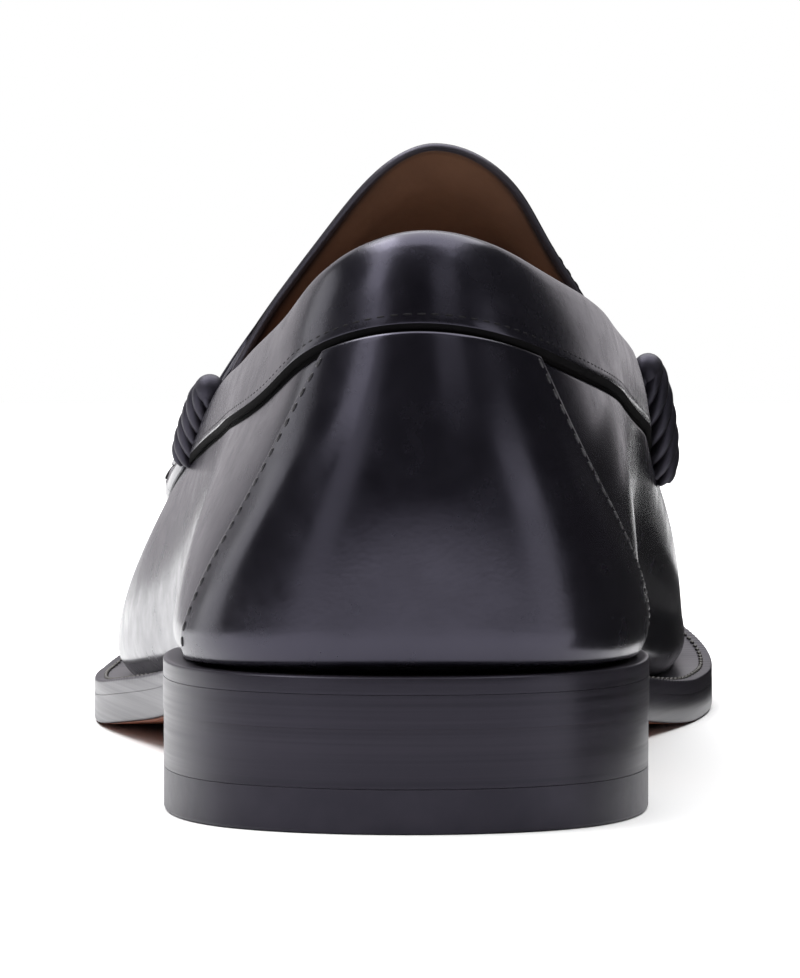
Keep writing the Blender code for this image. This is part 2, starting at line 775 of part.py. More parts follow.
def add_piece(name, shape, colour, roughness, smooth=True):
    verts, faces = shape
    mesh = bpy.data.meshes.new(name)
    mesh.from_pydata(((verts - frame_centre()) * MM).tolist(), [], faces)
    work = bmesh.new()
    work.from_mesh(mesh)
    bmesh.ops.recalc_face_normals(work, faces=work.faces)
    work.to_mesh(mesh)
    work.free()
    for polygon in mesh.polygons:
        polygon.use_smooth = smooth
    mesh.materials.append(material(name, colour, roughness))
    bpy.context.scene.collection.objects.link(bpy.data.objects.new(name, mesh))


def main():
    for old in list(bpy.data.objects):
        bpy.data.objects.remove(old)
    band = GAP + BAND_THICK
    apron = GAP + APRON_THICK
    strap = apron + STRAP_GAP
    add_piece("upper", upper_sheet().solid(-UPPER_WALL, 0.0), LEATHER, 0.3)
    add_piece("collar_band", collar_sheet().solid(GAP, band), LEATHER, 0.28)
    add_piece("heel_counter", counter_sheet().solid(COUNTER_GAP, COUNTER_GAP + COUNTER_THICK), LEATHER, 0.28)
    add_piece("apron", apron_sheet().solid(GAP, apron), LEATHER, 0.3)
    add_piece("strap", strap_sheet().solid(strap, strap + STRAP_THICK), LEATHER, 0.3)
    for side in SIDES:
        add_piece("roll_" + side, roll(side), LEATHER, 0.4)
        add_piece("tassel_" + side, tassel(side), LEATHER, 0.4)
    add_piece("tassel_knot", knot(), LEATHER, 0.4)
    add_piece("insole", insole(), BOARD, 0.6, False)
    add_piece("welt", welt(), SOLE_EDGE, 0.5, False)
    add_piece("outsole", outsole(), SOLE_UNDER, 0.55, False)
    add_piece("heel_stack", heel_stack(), SOLE_EDGE, 0.4, False)
    add_piece("heel_lift", heel_lift(), RUBBER, 0.6, False)


main()
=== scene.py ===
import math
import random

import bmesh
import bpy
import numpy as np
from mathutils import Matrix, Vector


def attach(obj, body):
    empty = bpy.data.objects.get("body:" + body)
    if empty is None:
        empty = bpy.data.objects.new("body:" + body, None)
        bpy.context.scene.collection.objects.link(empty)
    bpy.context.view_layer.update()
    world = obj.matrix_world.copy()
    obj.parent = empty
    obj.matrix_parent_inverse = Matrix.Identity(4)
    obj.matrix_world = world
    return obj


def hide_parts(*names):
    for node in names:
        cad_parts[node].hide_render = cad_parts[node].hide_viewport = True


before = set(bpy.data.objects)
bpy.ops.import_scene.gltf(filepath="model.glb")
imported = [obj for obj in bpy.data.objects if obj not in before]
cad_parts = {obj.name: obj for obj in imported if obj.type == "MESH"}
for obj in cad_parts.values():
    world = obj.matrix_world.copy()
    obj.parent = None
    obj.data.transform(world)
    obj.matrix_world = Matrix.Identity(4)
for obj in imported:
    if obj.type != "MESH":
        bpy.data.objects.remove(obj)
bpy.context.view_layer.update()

mm = 0.001
tiny = 0.01  # mm, step for slopes
hair = 0.02  # mm, keeps two faces out of one plane
middle = np.array([-0.07182516, 149.0, 0.0])  # design mm to the frame's origin
print("frame loaded:", len(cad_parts), "nodes")

# the last, heel to toe in mm: one row per section, lateral and medial values side by side
lastColumns = ("y lateral medial flange ridgeY fan wallLateral wallMedial crownLateral crownMedial"
               " flareLateral flareMedial seamLateral seamMedial topLateral topMedial").split()
lastTable = {
    "heelBack": (0, 0, 0, 1.8, 42, 1, 0.60, 0.60, 0.82, 0.82, 0.8, 0.8, 69, 69, 82, 82),
    "heelCorner": (9.5, 24, 23.6, 1.2, 46, 0.8, 0.37, 0.39, 0.47, 0.68, -1.1, -0.9, 62.8, 64.8, 74.2, 77.6),
    "heelSide": (34, 34, 33.6, 0.9, 60, 0.25, 0.30, 0.32, 0.30, 0.66, -1.7, -1.3, 56.6, 60.2, 68.2, 72.8),
    "heelBreast": (70, 33.4, 32.6, 1.2, 82, 0, 0.32, 0.36, 0.30, 0.80, 1.6, 4.2, 53, 56.4, 63, 68.2),
    "waist": (107, 34.4, 30.4, 2.4, 104, 0, 0.36, 0.42, 0.36, 0.92, 5.4, 12, 50.2, 52.4, 60, 64.2),
    "throat": (145, 42, 35.6, 3.6, 126, 0, 0.30, 0.30, 0.36, 0.73, 6.6, 13.6, 45.6, 47.6, 56.6, 61),
    "ballLateral": (188, 50.6, 46.4, 4.4, 168, 0, 0.32, 0.30, 0.44, 0.64, 6.0, 8.9, 36.5, 38, 50, 51),
    "ballMedial": (216, 50.8, 50.6, 4.6, 198, 0, 0.39, 0.38, 0.43, 0.50, 4.1, 2.4, 32.5, 34.5, 43.5, 44.5),
    "toeStart": (248, 44.6, 49.8, 4.6, 230, 0.1, 0.48, 0.50, 0.46, 0.49, 2.4, 2.4, 31.5, 32.5, 39, 39.5),
    "toeSide": (275, 30.6, 40.2, 4.5, 258, 0.45, 0.56, 0.56, 0.55, 0.55, 2, 2, 33, 33.4, 37, 37.2),
    "toeCorner": (292, 13.6, 23.2, 4.4, 269, 0.85, 0.60, 0.60, 0.62, 0.62, 2, 2, 34.2, 34.4, 36.8, 36.9),
    "toeTip": (298, -5, 5, 4.4, 270.5, 1, 0.62, 0.62, 0.64, 0.64, 2, 2, 34.6, 34.6, 36.8, 36.8),
}
ridgeTable = [  # y, x, z over the instep
    (42, 2.6, 99), (80, 2.8, 102), (104, 3.4, 101), (126, 4.2, 92.8), (146, 4.8, 82),
    (168, 5, 69.5), (198, 5, 56.5), (230, 5, 46.8), (258, 5, 41), (270.5, 5, 38.8),
]
groundTable = [  # y, z under the sole
    (0, 14.4), (36, 14.3), (70, 13.6), (105, 9.2), (135, 5), (162, 2.2), (180, 0.6), (192, 0), (216, 0),
    (242, 2), (266, 5.6), (298, 12),
]
flatSpot = (192.0, 216.0)
swells = [  # local fullness: side, at, rise, reach round, reach up, how far out
    (1, 46, 0.40, 32, 0.18, -2.4), (-1, 148, 0.32, 48, 0.13, 3.4), (-1, 160, 0.67, 32, 0.12, -2.2),
    (1, 164, 0.68, 32, 0.16, -1.6),
]
sole = {"gap": 0.35, "thick": 4.6, "welt": 2.2, "tuck": 2.0, "tuckHeight": 5.0}


def naturalCurve(knots, values):
    knots, values = np.asarray(knots, float), np.asarray(values, float)
    step = np.diff(knots)
    matrix, right = np.eye(len(knots)), np.zeros_like(values)
    for i in range(1, len(knots) - 1):
        matrix[i, i - 1:i + 2] = step[i - 1], 2 * (step[i - 1] + step[i]), step[i]
        right[i] = 6 * ((values[i + 1] - values[i]) / step[i] - (values[i] - values[i - 1]) / step[i - 1])
    bend = np.linalg.solve(matrix, right)
    return lambda at: curveValue(knots, values, bend, at)


def closedCurve(knots, values):
    step, count = np.diff(knots), len(values)
    matrix, right = np.zeros((count, count)), np.zeros_like(values)
    for i in range(count):
        after = (i + 1) % count
        matrix[i, i - 1] += step[i - 1]
        matrix[i, i] += 2 * (step[i - 1] + step[i])
        matrix[i, after] += step[i]
        right[i] = 6 * ((values[after] - values[i]) / step[i] - (values[i] - values[i - 1]) / step[i - 1])
    bend = np.linalg.solve(matrix, right)
    ring, bends = np.vstack([values, values[:1]]), np.vstack([bend, bend[:1]])
    return lambda at: curveValue(knots, ring, bends, np.mod(at, knots[-1]))


def curveValue(knots, values, bend, at):
    at = np.atleast_1d(np.asarray(at, float))
    i = np.clip(np.searchsorted(knots, at, side="right") - 1, 0, len(knots) - 2)
    span = knots[i + 1] - knots[i]
    left, right = (knots[i + 1] - at) / span, (at - knots[i]) / span
    if values.ndim > 1:
        left, right, span = left[:, None], right[:, None], span[:, None]
    curve = (left**3 - left) * bend[i] + (right**3 - right) * bend[i + 1]
    return left * values[i] + right * values[i + 1] + curve * span**2 / 6


def lastRing():
    rows = [dict(zip(lastColumns, row)) for row in lastTable.values()]
    pick = lambda r, x, side: (x, r["y"], r["flange"], r["ridgeY"], r["fan"], r["wall" + side],
                               r["crown" + side], r["flare" + side], r["seam" + side], r["top" + side])
    lateral = [pick(r, -r["lateral"], "Lateral") for r in rows]
    medial = [pick(r, r["medial"], "Medial") for r in rows[-2:0:-1]]
    return np.array(lateral + medial, float)


ringRows = lastRing()
chord = np.linalg.norm(np.diff(np.vstack([ringRows, ringRows[:1]])[:, :2], axis=0), axis=1)
spans = len(lastTable) - 1
halfChord = (chord[:spans] + chord[spans:][::-1]) / 2
ringKnots = np.concatenate([[0.0], np.cumsum(np.concatenate([halfChord, halfChord[::-1]]))])
around = ringKnots[-1]
toeAt = around / 2
throatAt = ringKnots[5]
ring = closedCurve(ringKnots, ringRows)
ridgeLine = naturalCurve([r[0] for r in ridgeTable], [(r[1], r[2]) for r in ridgeTable])
groundLine = naturalCurve([g[0] for g in groundTable], [g[1] for g in groundTable])
flangeCol, ridgeCol, fanCol, wallCol, crownCol, flareCol, seamCol, topCol = range(2, 10)


def mix(low, high, share):
    return low + (high - low) * share


def unit(rows):
    return rows / np.linalg.norm(rows, axis=1)[:, None]


def softStep(value):
    value = np.clip(value, 0, 1)
    return value * value * (3 - 2 * value)


def groundZ(y):
    y = np.asarray(y, float)
    flat = (y > flatSpot[0]) & (y < flatSpot[1])
    return np.where(flat, 0.0, np.maximum(groundLine(y), 0.0))


def weltTop(y):
    return groundZ(y) + sole["thick"] + sole["gap"] + sole["welt"]


def soleEdge(at, inset=0.0):
    at = np.atleast_1d(np.asarray(at, float))
    along = ring(at + tiny)[:, :2] - ring(at - tiny)[:, :2]
    outward = unit(np.stack([-along[:, 1], along[:, 0]], axis=1))
    return ring(at)[:, :2] - np.asarray(inset, float).reshape(-1, 1) * outward, outward


def ridgeSlope(y):
    return (ridgeLine(y + tiny)[:, 1] - ridgeLine(y - tiny)[:, 1]) / (2 * tiny)


def lastPoint(at, rise):
    at = np.atleast_1d(np.asarray(at, float))
    row = ring(at)
    plan, outward = soleEdge(at, row[:, flangeCol])
    foot = np.column_stack([plan, weltTop(plan[:, 1]) + sole["gap"]])
    ridgeY = row[:, ridgeCol]
    ridge = np.column_stack([ridgeLine(ridgeY)[:, 0], ridgeY, ridgeLine(ridgeY)[:, 1]])
    wall = foot.copy()
    wall[:, :2] += row[:, flareCol, None] * outward
    wall[:, 2] += row[:, wallCol] * (ridge[:, 2] - foot[:, 2])
    reach = row[:, crownCol, None] * (foot[:, :2] - ridge[:, :2])
    reach[:, 1] *= row[:, fanCol]
    crown = ridge + np.column_stack([reach, ridgeSlope(ridgeY) * reach[:, 1]])
    up = np.asarray(rise, float).reshape(-1, 1)
    down = 1 - up
    point = down**3 * foot + 3 * down**2 * up * wall + 3 * down * up**2 * crown + up**3 * ridge
    for side, swellAt, swellRise, reachAt, reachRise, out in swells:
        away = np.mod(at - side * swellAt + toeAt, around) - toeAt
        full = np.exp(-((away / reachAt) ** 2) - ((up[:, 0] - swellRise) / reachRise) ** 2)
        point[:, :2] += (out * full * (1 - up[:, 0] ** 8))[:, None] * outward
    tuck = sole["tuck"] * np.clip(1 - (point[:, 2] - foot[:, 2]) / sole["tuckHeight"], 0, 1) ** 2
    point[:, :2] -= tuck[:, None] * outward
    return point


def lastNormal(at, rise):
    at = np.atleast_1d(np.asarray(at, float))
    rise = np.asarray(rise, float) * np.ones(len(at))
    inner = np.clip(rise, 0.004, 0.988)
    along = lastPoint(at + 0.4, inner) - lastPoint(at - 0.4, inner)
    climb = lastPoint(at, inner + 0.004) - lastPoint(at, inner - 0.004)
    slope = ridgeSlope(ring(at)[:, ridgeCol])
    onRidge = unit(np.column_stack([np.zeros(len(at)), -slope, np.ones(len(at))]))
    near = softStep((rise - 0.95) / 0.05)[:, None]  # eases into the ridge so both halves meet
    return unit(mix(unit(np.cross(climb, along)), onRidge, near))


def offLast(at, rise, distance):
    distance = np.asarray(distance, float) * np.ones(len(np.atleast_1d(at)))
    return lastPoint(at, rise) + distance[:, None] * lastNormal(at, rise)


def riseAtHeight(at, height):
    steps = np.linspace(0, 1, 161)
    found = []
    for oneAt, oneHeight in zip(np.atleast_1d(at), np.atleast_1d(height)):
        z = lastPoint(np.full(161, oneAt), steps)[:, 2]
        found.append(np.interp(oneHeight, np.maximum.accumulate(z), steps))
    return np.array(found)


ringAts = np.linspace(0, around, 721)
seamTable = riseAtHeight(ringAts, ring(ringAts)[:, seamCol])
topTable = riseAtHeight(ringAts, ring(ringAts)[:, topCol])


def levelRise(at, level):  # 0 foot, 1 seam under the collar, 2 topline, 3 ridge
    seam = np.interp(np.mod(at, around), ringAts, seamTable)
    top = np.interp(np.mod(at, around), ringAts, topTable)
    level = np.asarray(level, float)
    low = level * seam
    band = mix(seam, top, level - 1)
    high = mix(top, 1.0, level - 2)
    return np.where(level < 1, low, np.where(level < 2, band, high))


print("last worked out, %.0f mm round the sole" % around)

# small helpers for meshes


def laidGrid(columns, rows, place, bm=None, paint=None):
    columns, rows = np.asarray(columns, float), np.asarray(rows, float)
    bm = bm or bmesh.new()
    made = bmesh.ops.create_grid(bm, x_segments=len(columns) - 1, y_segments=len(rows) - 1, size=1.0)["verts"]
    flat = np.array([v.co[:2] for v in made])
    i = np.rint((flat[:, 0] + 1) / 2 * (len(columns) - 1)).astype(int)
    j = np.rint((flat[:, 1] + 1) / 2 * (len(rows) - 1)).astype(int)
    if paint:
        spotOn = {v: (c, r) for v, c, r in zip(made, columns[i], rows[j])}
        for face in {f for v in made for f in v.link_faces}:
            column, row = np.mean([spotOn[v] for v in face.verts], axis=0)
            face.material_index = paint(column, row)
    spots = (place(columns[i], rows[j]) - middle) * mm
    for v, spot in zip(made, spots):
        v.co = spot
    return bm


def weld(bm):
    bmesh.ops.remove_doubles(bm, verts=bm.verts, dist=0.004 * mm)
    bmesh.ops.dissolve_degenerate(bm, dist=1e-7, edges=bm.edges)


def closeUp(bm):
    weld(bm)
    edges = [e for e in bm.edges if e.is_boundary]
    if edges:
        bmesh.ops.holes_fill(bm, edges=edges, sides=0)
    bmesh.ops.recalc_face_normals(bm, faces=bm.faces)
    return bm


def asObject(name, bm, materials):
    mesh = bpy.data.meshes.new(name)
    bm.to_mesh(mesh)
    bm.free()
    for material in materials:
        mesh.materials.append(material)
    made = bpy.data.objects.new(name, mesh)
    bpy.context.scene.collection.objects.link(made)
    return made


def asPiece(name, bm, materials, nodes=(), sharp=None):
    piece = asObject(name, bm, materials)
    mesh = piece.data
    mesh.polygons.foreach_set("use_smooth", [True] * len(mesh.polygons))
    if sharp:
        mesh.set_sharp_from_angle(angle=math.radians(sharp))
    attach(piece, "root")
    if nodes:
        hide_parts(*nodes)
    return piece


def thicken(piece, thick, insideSlot=0, rimSlot=0, group=None):
    wall = piece.modifiers.new("wall", "SOLIDIFY")
    wall.thickness = thick * mm
    wall.offset = -1.0
    wall.use_even_offset = True
    wall.material_offset = insideSlot
    wall.material_offset_rim = rimSlot
    if group:
        wall.vertex_group = group


def pathFrame(centres, normals):
    along = unit(np.gradient(centres, axis=0))
    normals = unit(normals - along * np.sum(normals * along, axis=1)[:, None])
    return along, normals, np.cross(along, normals)


def tube(bm, centres, normals, halfWide, halfThick, sides):
    normals, across = pathFrame(centres, normals)[1:]
    halfWide, halfThick = [np.asarray(h, float) * np.ones(len(centres)) for h in (halfWide, halfThick)]

    def place(i, k):
        i = i.astype(int)
        angle = 2 * math.pi * k / sides
        return (centres[i] + (np.cos(angle) * halfWide[i])[:, None] * across[i]
                + (np.sin(angle) * halfThick[i])[:, None] * normals[i])

    return laidGrid(np.arange(len(centres)), np.arange(sides + 1), place, bm)


def stitchRow(name, path, normals, size, material, lean=0.0):
    path, normals = np.asarray(path, float), np.asarray(normals, float)
    run = np.concatenate([[0], np.cumsum(np.linalg.norm(np.diff(path, axis=0), axis=1))])
    marks = np.arange(size["pitch"] / 2, run[-1], size["pitch"])
    bm = bmesh.new()
    for mark in marks:
        spot = np.array([np.interp(mark, run, path[:, k]) for k in range(3)])
        ahead = np.array([np.interp(min(mark + 0.4, run[-1]), run, path[:, k]) for k in range(3)])
        normal = Vector([np.interp(mark, run, normals[:, k]) for k in range(3)]).normalized()
        along = Vector(ahead - spot).normalized()
        if lean:
            along = Matrix.Rotation(lean, 3, normal) @ along
        side = normal.cross(along).normalized()
        along = side.cross(normal)
        axes = along * size["length"] / 2, side * size["wide"] / 2, normal * size["high"]
        turned = Matrix(axes).transposed()
        matrix = Matrix.Translation((spot - middle) * mm) @ (turned * mm).to_4x4()
        bmesh.ops.create_uvsphere(bm, u_segments=6, v_segments=6, radius=1.0, matrix=matrix)
    bmesh.ops.recalc_face_normals(bm, faces=bm.faces)
    return asPiece(name, bm, [material])


# materials


class Nodes:
    def __init__(self, name):
        self.material = bpy.data.materials.new(name)
        self.material.use_nodes = True
        self.tree = self.material.node_tree
        self.shader = self.tree.nodes["Principled BSDF"]
        self.spot = self.add("ShaderNodeTexCoord").outputs["Object"]

    def add(self, kind, inputs=None, **settings):
        node = self.tree.nodes.new(kind)
        for key, value in settings.items():
            setattr(node, key, value)
        for key, value in (inputs or {}).items():
            self.put(node.inputs[key], value)
        return node

    def put(self, socket, value):
        if hasattr(value, "links"):
            self.tree.links.new(value, socket)
        else:
            socket.default_value = value

    def sockets(self, **values):
        for key, value in values.items():
            self.put(self.shader.inputs[key.replace("_", " ")], value)

    def stretched(self, *scale):
        return self.add("ShaderNodeMapping", {"Vector": self.spot, "Scale": scale}).outputs["Vector"]

    def noise(self, scale, detail, rough, vector=None):
        inputs = {"Vector": vector or self.spot, "Scale": scale, "Detail": detail, "Roughness": rough}
        return self.add("ShaderNodeTexNoise", inputs).outputs["Fac"]

    def cells(self, scale):
        return self.add("ShaderNodeTexVoronoi", {"Vector": self.spot, "Scale": scale}).outputs["Distance"]

    def ramp(self, value, low, high, fromLow=0.0, fromHigh=1.0):
        inputs = {"Value": value, "From Min": fromLow, "From Max": fromHigh, "To Min": low, "To Max": high}
        return self.add("ShaderNodeMapRange", inputs).outputs["Result"]

    def total(self, first, second):
        return self.add("ShaderNodeMath", {0: first, 1: second}, operation="ADD").outputs[0]

    def blend(self, share, first, second):
        inputs = {"Factor": share, 6: first, 7: second}
        return self.add("ShaderNodeMix", inputs, data_type="RGBA").outputs[2]

    def attribute(self, name):
        return self.add("ShaderNodeAttribute", attribute_name=name).outputs["Fac"]

    def bump(self, *layers):
        normal = None
        for height, strength, distance in layers:
            inputs = {"Strength": strength, "Distance": distance * mm, "Height": height}
            if normal:
                inputs["Normal"] = normal
            normal = self.add("ShaderNodeBump", inputs).outputs["Normal"]
        self.put(self.shader.inputs["Normal"], normal)


def rgb(r, g, b):
    return (r, g, b, 1.0)


def polishedLeather(name, dark, light, rough, grain=0.10, coat=0.05):
    n = Nodes(name)
    tone = n.ramp(n.noise(60, 3, 0.6), 0, 1, 0.35, 0.7)
    n.sockets(Base_Color=n.blend(tone, dark, light), Coat_Weight=coat, Coat_Roughness=0.16, Coat_IOR=1.5,
              IOR=1.57, Specular_Tint=rgb(0.78, 0.74, 1.0))
    n.sockets(Roughness=n.ramp(n.noise(180, 4, 0.6), rough - 0.04, rough + 0.06, 0.3, 0.7))
    pebble = n.total(n.cells(1300), n.noise(900, 3, 0.6))
    n.bump((pebble, grain, 0.08))
    return n.material


def liningLeather():
    n = Nodes("brown lining leather")
    tone = n.ramp(n.noise(45, 4, 0.6), 0, 1, 0.3, 0.75)
    brown = n.blend(tone, rgb(0.10, 0.048, 0.027), rgb(0.18, 0.090, 0.052))
    n.sockets(Base_Color=n.blend(n.attribute("facing"), brown, rgb(0.014, 0.012, 0.012)), IOR=1.45)
    n.sockets(Roughness=n.ramp(n.noise(220, 3, 0.6), 0.42, 0.6))
    n.bump((n.total(n.cells(900), n.noise(700, 3, 0.6)), 0.12, 0.15))
    return n.material


def burnishedEdge(name, dark, light, rough):
    n = Nodes(name)
    lines = n.noise(1.0, 3, 0.6, n.stretched(14, 14, 1500))
    layers = n.noise(1.0, 2, 0.5, n.stretched(4, 4, 420))
    tone = n.ramp(n.total(lines, layers), 0, 1, 0.75, 1.25)
    n.sockets(Base_Color=n.blend(tone, dark, light), Coat_Weight=0.03, Coat_Roughness=0.25, Coat_IOR=1.5,
              IOR=1.5, Specular_Tint=rgb(0.80, 0.76, 1.0), Specular_IOR_Level=0.27)
    n.sockets(Roughness=n.ramp(lines, rough - 0.03, rough + 0.05, 0.3, 0.7))
    n.bump((lines, 0.12, 0.04), (layers, 0.08, 0.05))
    return n.material


def soleLeather():
    n = Nodes("waxed sole leather")
    tone = n.ramp(n.noise(35, 5, 0.65), 0, 1, 0.3, 0.75)
    n.sockets(Base_Color=n.blend(tone, rgb(0.20, 0.055, 0.026), rgb(0.33, 0.115, 0.055)), IOR=1.45)
    n.sockets(Roughness=n.ramp(n.noise(300, 3, 0.6), 0.38, 0.58))
    n.bump((n.noise(800, 4, 0.7), 0.15, 0.1))
    return n.material


def heelRubber():
    n = Nodes("heel rubber")
    tone = n.ramp(n.noise(90, 4, 0.6), 0, 1, 0.3, 0.7)
    n.sockets(Base_Color=n.blend(tone, rgb(0.010, 0.009, 0.012), rgb(0.021, 0.019, 0.025)), IOR=1.5,
              Specular_Tint=rgb(0.80, 0.76, 1.0), Specular_IOR_Level=0.3)
    n.sockets(Roughness=n.ramp(n.noise(500, 3, 0.6), 0.34, 0.44))
    n.bump((n.noise(1.0, 3, 0.6, n.stretched(60, 60, 1100)), 0.12, 0.07))
    return n.material


def waxedThread(name, dark, light, rough, shine=0.5):
    n = Nodes(name)
    twist = n.noise(2600, 2, 0.5)
    n.sockets(Base_Color=n.blend(n.ramp(twist, 0, 1, 0.35, 0.65), dark, light), IOR=1.5,
              Specular_IOR_Level=shine)
    n.sockets(Roughness=n.ramp(n.noise(700, 2, 0.5), rough - 0.06, rough + 0.08))
    n.bump((twist, 0.3, 0.06))
    return n.material


def paintedGrooveShade():
    # painted shade: matte near-black with almost no gloss, laid in the groove under the collar band and on
    # the edges beside it, where shade falls
    n = Nodes("painted groove shade")
    n.sockets(Base_Color=n.blend(n.noise(500, 2, 0.5), rgb(0.002, 0.002, 0.0022), rgb(0.005, 0.0045, 0.005)),
              Roughness=0.9, Specular_IOR_Level=0.04)
    return n.material


def studioWhite():
    n = Nodes("studio paper")
    paper = n.blend(n.noise(3, 2, 0.5), rgb(0.86, 0.86, 0.86), rgb(0.88, 0.88, 0.88))
    n.sockets(Base_Color=paper, Roughness=0.9, Specular_IOR_Level=0.1)
    return n.material


blackLeather = polishedLeather(
    "black polished leather", rgb(0.003, 0.0027, 0.004), rgb(0.006, 0.0055, 0.0075), 0.23, 0.05)
bandLeather = polishedLeather(
    "black band leather", rgb(0.003, 0.0027, 0.004), rgb(0.007, 0.0065, 0.0085), 0.25, 0.07)
trimLeather = polishedLeather(
    "black trim leather", rgb(0.003, 0.0027, 0.003), rgb(0.008, 0.007, 0.0075), 0.5, 0.16, 0.0)
cutEdge = polishedLeather(
    "inked leather edge", rgb(0.010, 0.009, 0.009), rgb(0.022, 0.019, 0.018), 0.42, 0.2, 0.05)
lining = liningLeather()
sockLeather = polishedLeather(
    "brown sock leather", rgb(0.12, 0.042, 0.014), rgb(0.19, 0.072, 0.024), 0.5, 0.12, 0.0)
edgeBlack = burnishedEdge("burnished sole edge", rgb(0.010, 0.009, 0.012), rgb(0.020, 0.018, 0.024), 0.32)
stackBlack = burnishedEdge("burnished heel stack", rgb(0.010, 0.009, 0.012), rgb(0.021, 0.019, 0.025), 0.34)
soleBrown = soleLeather()
rubber = heelRubber()
grooveShade = paintedGrooveShade()
seamThread = waxedThread("waxed seam thread", rgb(0.010, 0.009, 0.011), rgb(0.04, 0.037, 0.042), 0.36)
bandThread = waxedThread(
    "waxed band thread", rgb(0.003, 0.0027, 0.0035), rgb(0.009, 0.008, 0.010), 0.55, 0.12)
weltThread = waxedThread("welt thread", rgb(0.02, 0.018, 0.016), rgb(0.07, 0.064, 0.056), 0.45)
print("materials made")

# upper: hollow body with a brown lining, groove under the collar band, thin edge at the tongue
upperSize = {"wall": 2.2, "collarCut": 1.86, "groove": 0.45, "grooveWide": 0.010, "grooveAt": 0.986,
             "shadeLevels": (0.970, 1.06), "edgeRun": 9.0, "edgeShare": 0.28, "edgeLift": 0.8,
             "grooveShort": 2.0, "grooveFade": 10.0, "edgeSpan": (110, 185),
             "facingLateral": 2.5, "facingMedial": 2.0}


def aboveCollar(level):
    return softStep((level - 1.95) / 0.3)  # from just under the topline


def upperOffset(at, level):
    inCollar = softStep((throatAt - upperSize["grooveShort"] - np.abs(at)) / upperSize["grooveFade"])
    groove = np.exp(-((level - upperSize["grooveAt"]) / upperSize["grooveWide"]) ** 2)
    atEdge = 1 - softStep((np.abs(at) - throatAt) / upperSize["edgeRun"])
    lift = upperSize["edgeLift"] * atEdge * aboveCollar(level)
    return lift - upperSize["groove"] * groove * inCollar


def makeUpper():
    size = upperSize
    wallLevels = np.concatenate([np.linspace(0, 0.12, 11)[:-1], np.linspace(0.12, 0.92, 26)[:-1],
                                 np.linspace(0.92, 1.0, 13)])
    bandLevels = np.array([1.02, 1.05, 1.1, 1.2, 1.35, 1.5, 1.65, 1.78, size["collarCut"]])
    topLevels = np.concatenate([[1.93, 2.0], np.linspace(2.0, 3.0, 27)[1:]])
    collarLevels = np.concatenate([wallLevels, bandLevels])
    allLevels = np.concatenate([collarLevels, topLevels])
    place = lambda at, level: offLast(at, levelRise(at, level), upperOffset(at, level))
    # faces in and beside the groove under the collar band take the painted groove shade (slot 3)
    paint = lambda at, level: 3 if size["shadeLevels"][0] < level < size["shadeLevels"][1] else 0
    bm = laidGrid(np.linspace(-throatAt, throatAt, 201), collarLevels, place, paint=paint)
    vampAts = np.concatenate([throatAt + np.array([0, 0.7, 1.6, 2.8, 4.2, 6.0]),
                              np.linspace(throatAt + 8.5, toeAt, 96)])
    laidGrid(vampAts, allLevels, place, bm)
    laidGrid(-vampAts[::-1], allLevels, place, bm)
    weld(bm)
    bmesh.ops.reverse_faces(bm, faces=bm.faces)
    # slot 3 is the painted groove shade on the outside, with the lining and the cut edge behind it
    skins = [blackLeather, lining, cutEdge, grooveShade, lining, cutEdge]  # outside, inside and rim, twice
    return asPiece("upperBody", bm, skins, ["upper"])


def edgeValues(piece):  # how near each vertex is to the tongue's free edge
    size = upperSize
    levels = np.linspace(0, 3, 241)
    spots = np.array([v.co[:] for v in piece.data.vertices]) / mm + middle
    facing, thin = np.zeros(len(spots)), np.ones(len(spots))
    back, front = size["edgeSpan"]
    for side, wide in ((1, size["facingLateral"]), (-1, size["facingMedial"])):
        edge = lastPoint(np.full(241, side * throatAt), levelRise(np.full(241, side * throatAt), levels))
        inHalf = (spots[:, 0] - ridgeLine(np.clip(spots[:, 1], 42, 270))[:, 0]) * side <= 0.01
        near = np.where(inHalf & (spots[:, 1] > back) & (spots[:, 1] < front))[0]
        gaps = np.linalg.norm(spots[near, None, :] - edge[None], axis=2)
        nearest = levels[gaps.argmin(axis=1)]
        gap = gaps.min(axis=1)
        reach = 1.2 + wide * np.clip(1 - np.abs(nearest - 1.9) / 0.9, 0, 1)
        high = softStep((nearest - 1.2) / 0.3)
        facing[near] = np.maximum(facing[near], high * np.clip(1.6 - 1.6 * gap / reach, 0, 1))
        slim = mix(size["edgeShare"], 1.0, softStep(gap / size["edgeRun"]))
        thin[near] = np.minimum(thin[near], mix(1.0, slim, softStep((nearest - 1.55) / 0.4)))
    return facing, thin


upperBody = makeUpper()
facing, thin = edgeValues(upperBody)
upperBody.data.attributes.new("facing", "FLOAT", "POINT").data.foreach_set("value", facing)
wallGroup = upperBody.vertex_groups.new(name="wallShare")
for i, share in enumerate(thin):
    wallGroup.add([i], float(share), "REPLACE")
thicken(upperBody, upperSize["wall"], 1, 2, "wallShare")
print("upper made:", len(upperBody.data.vertices), "vertices")

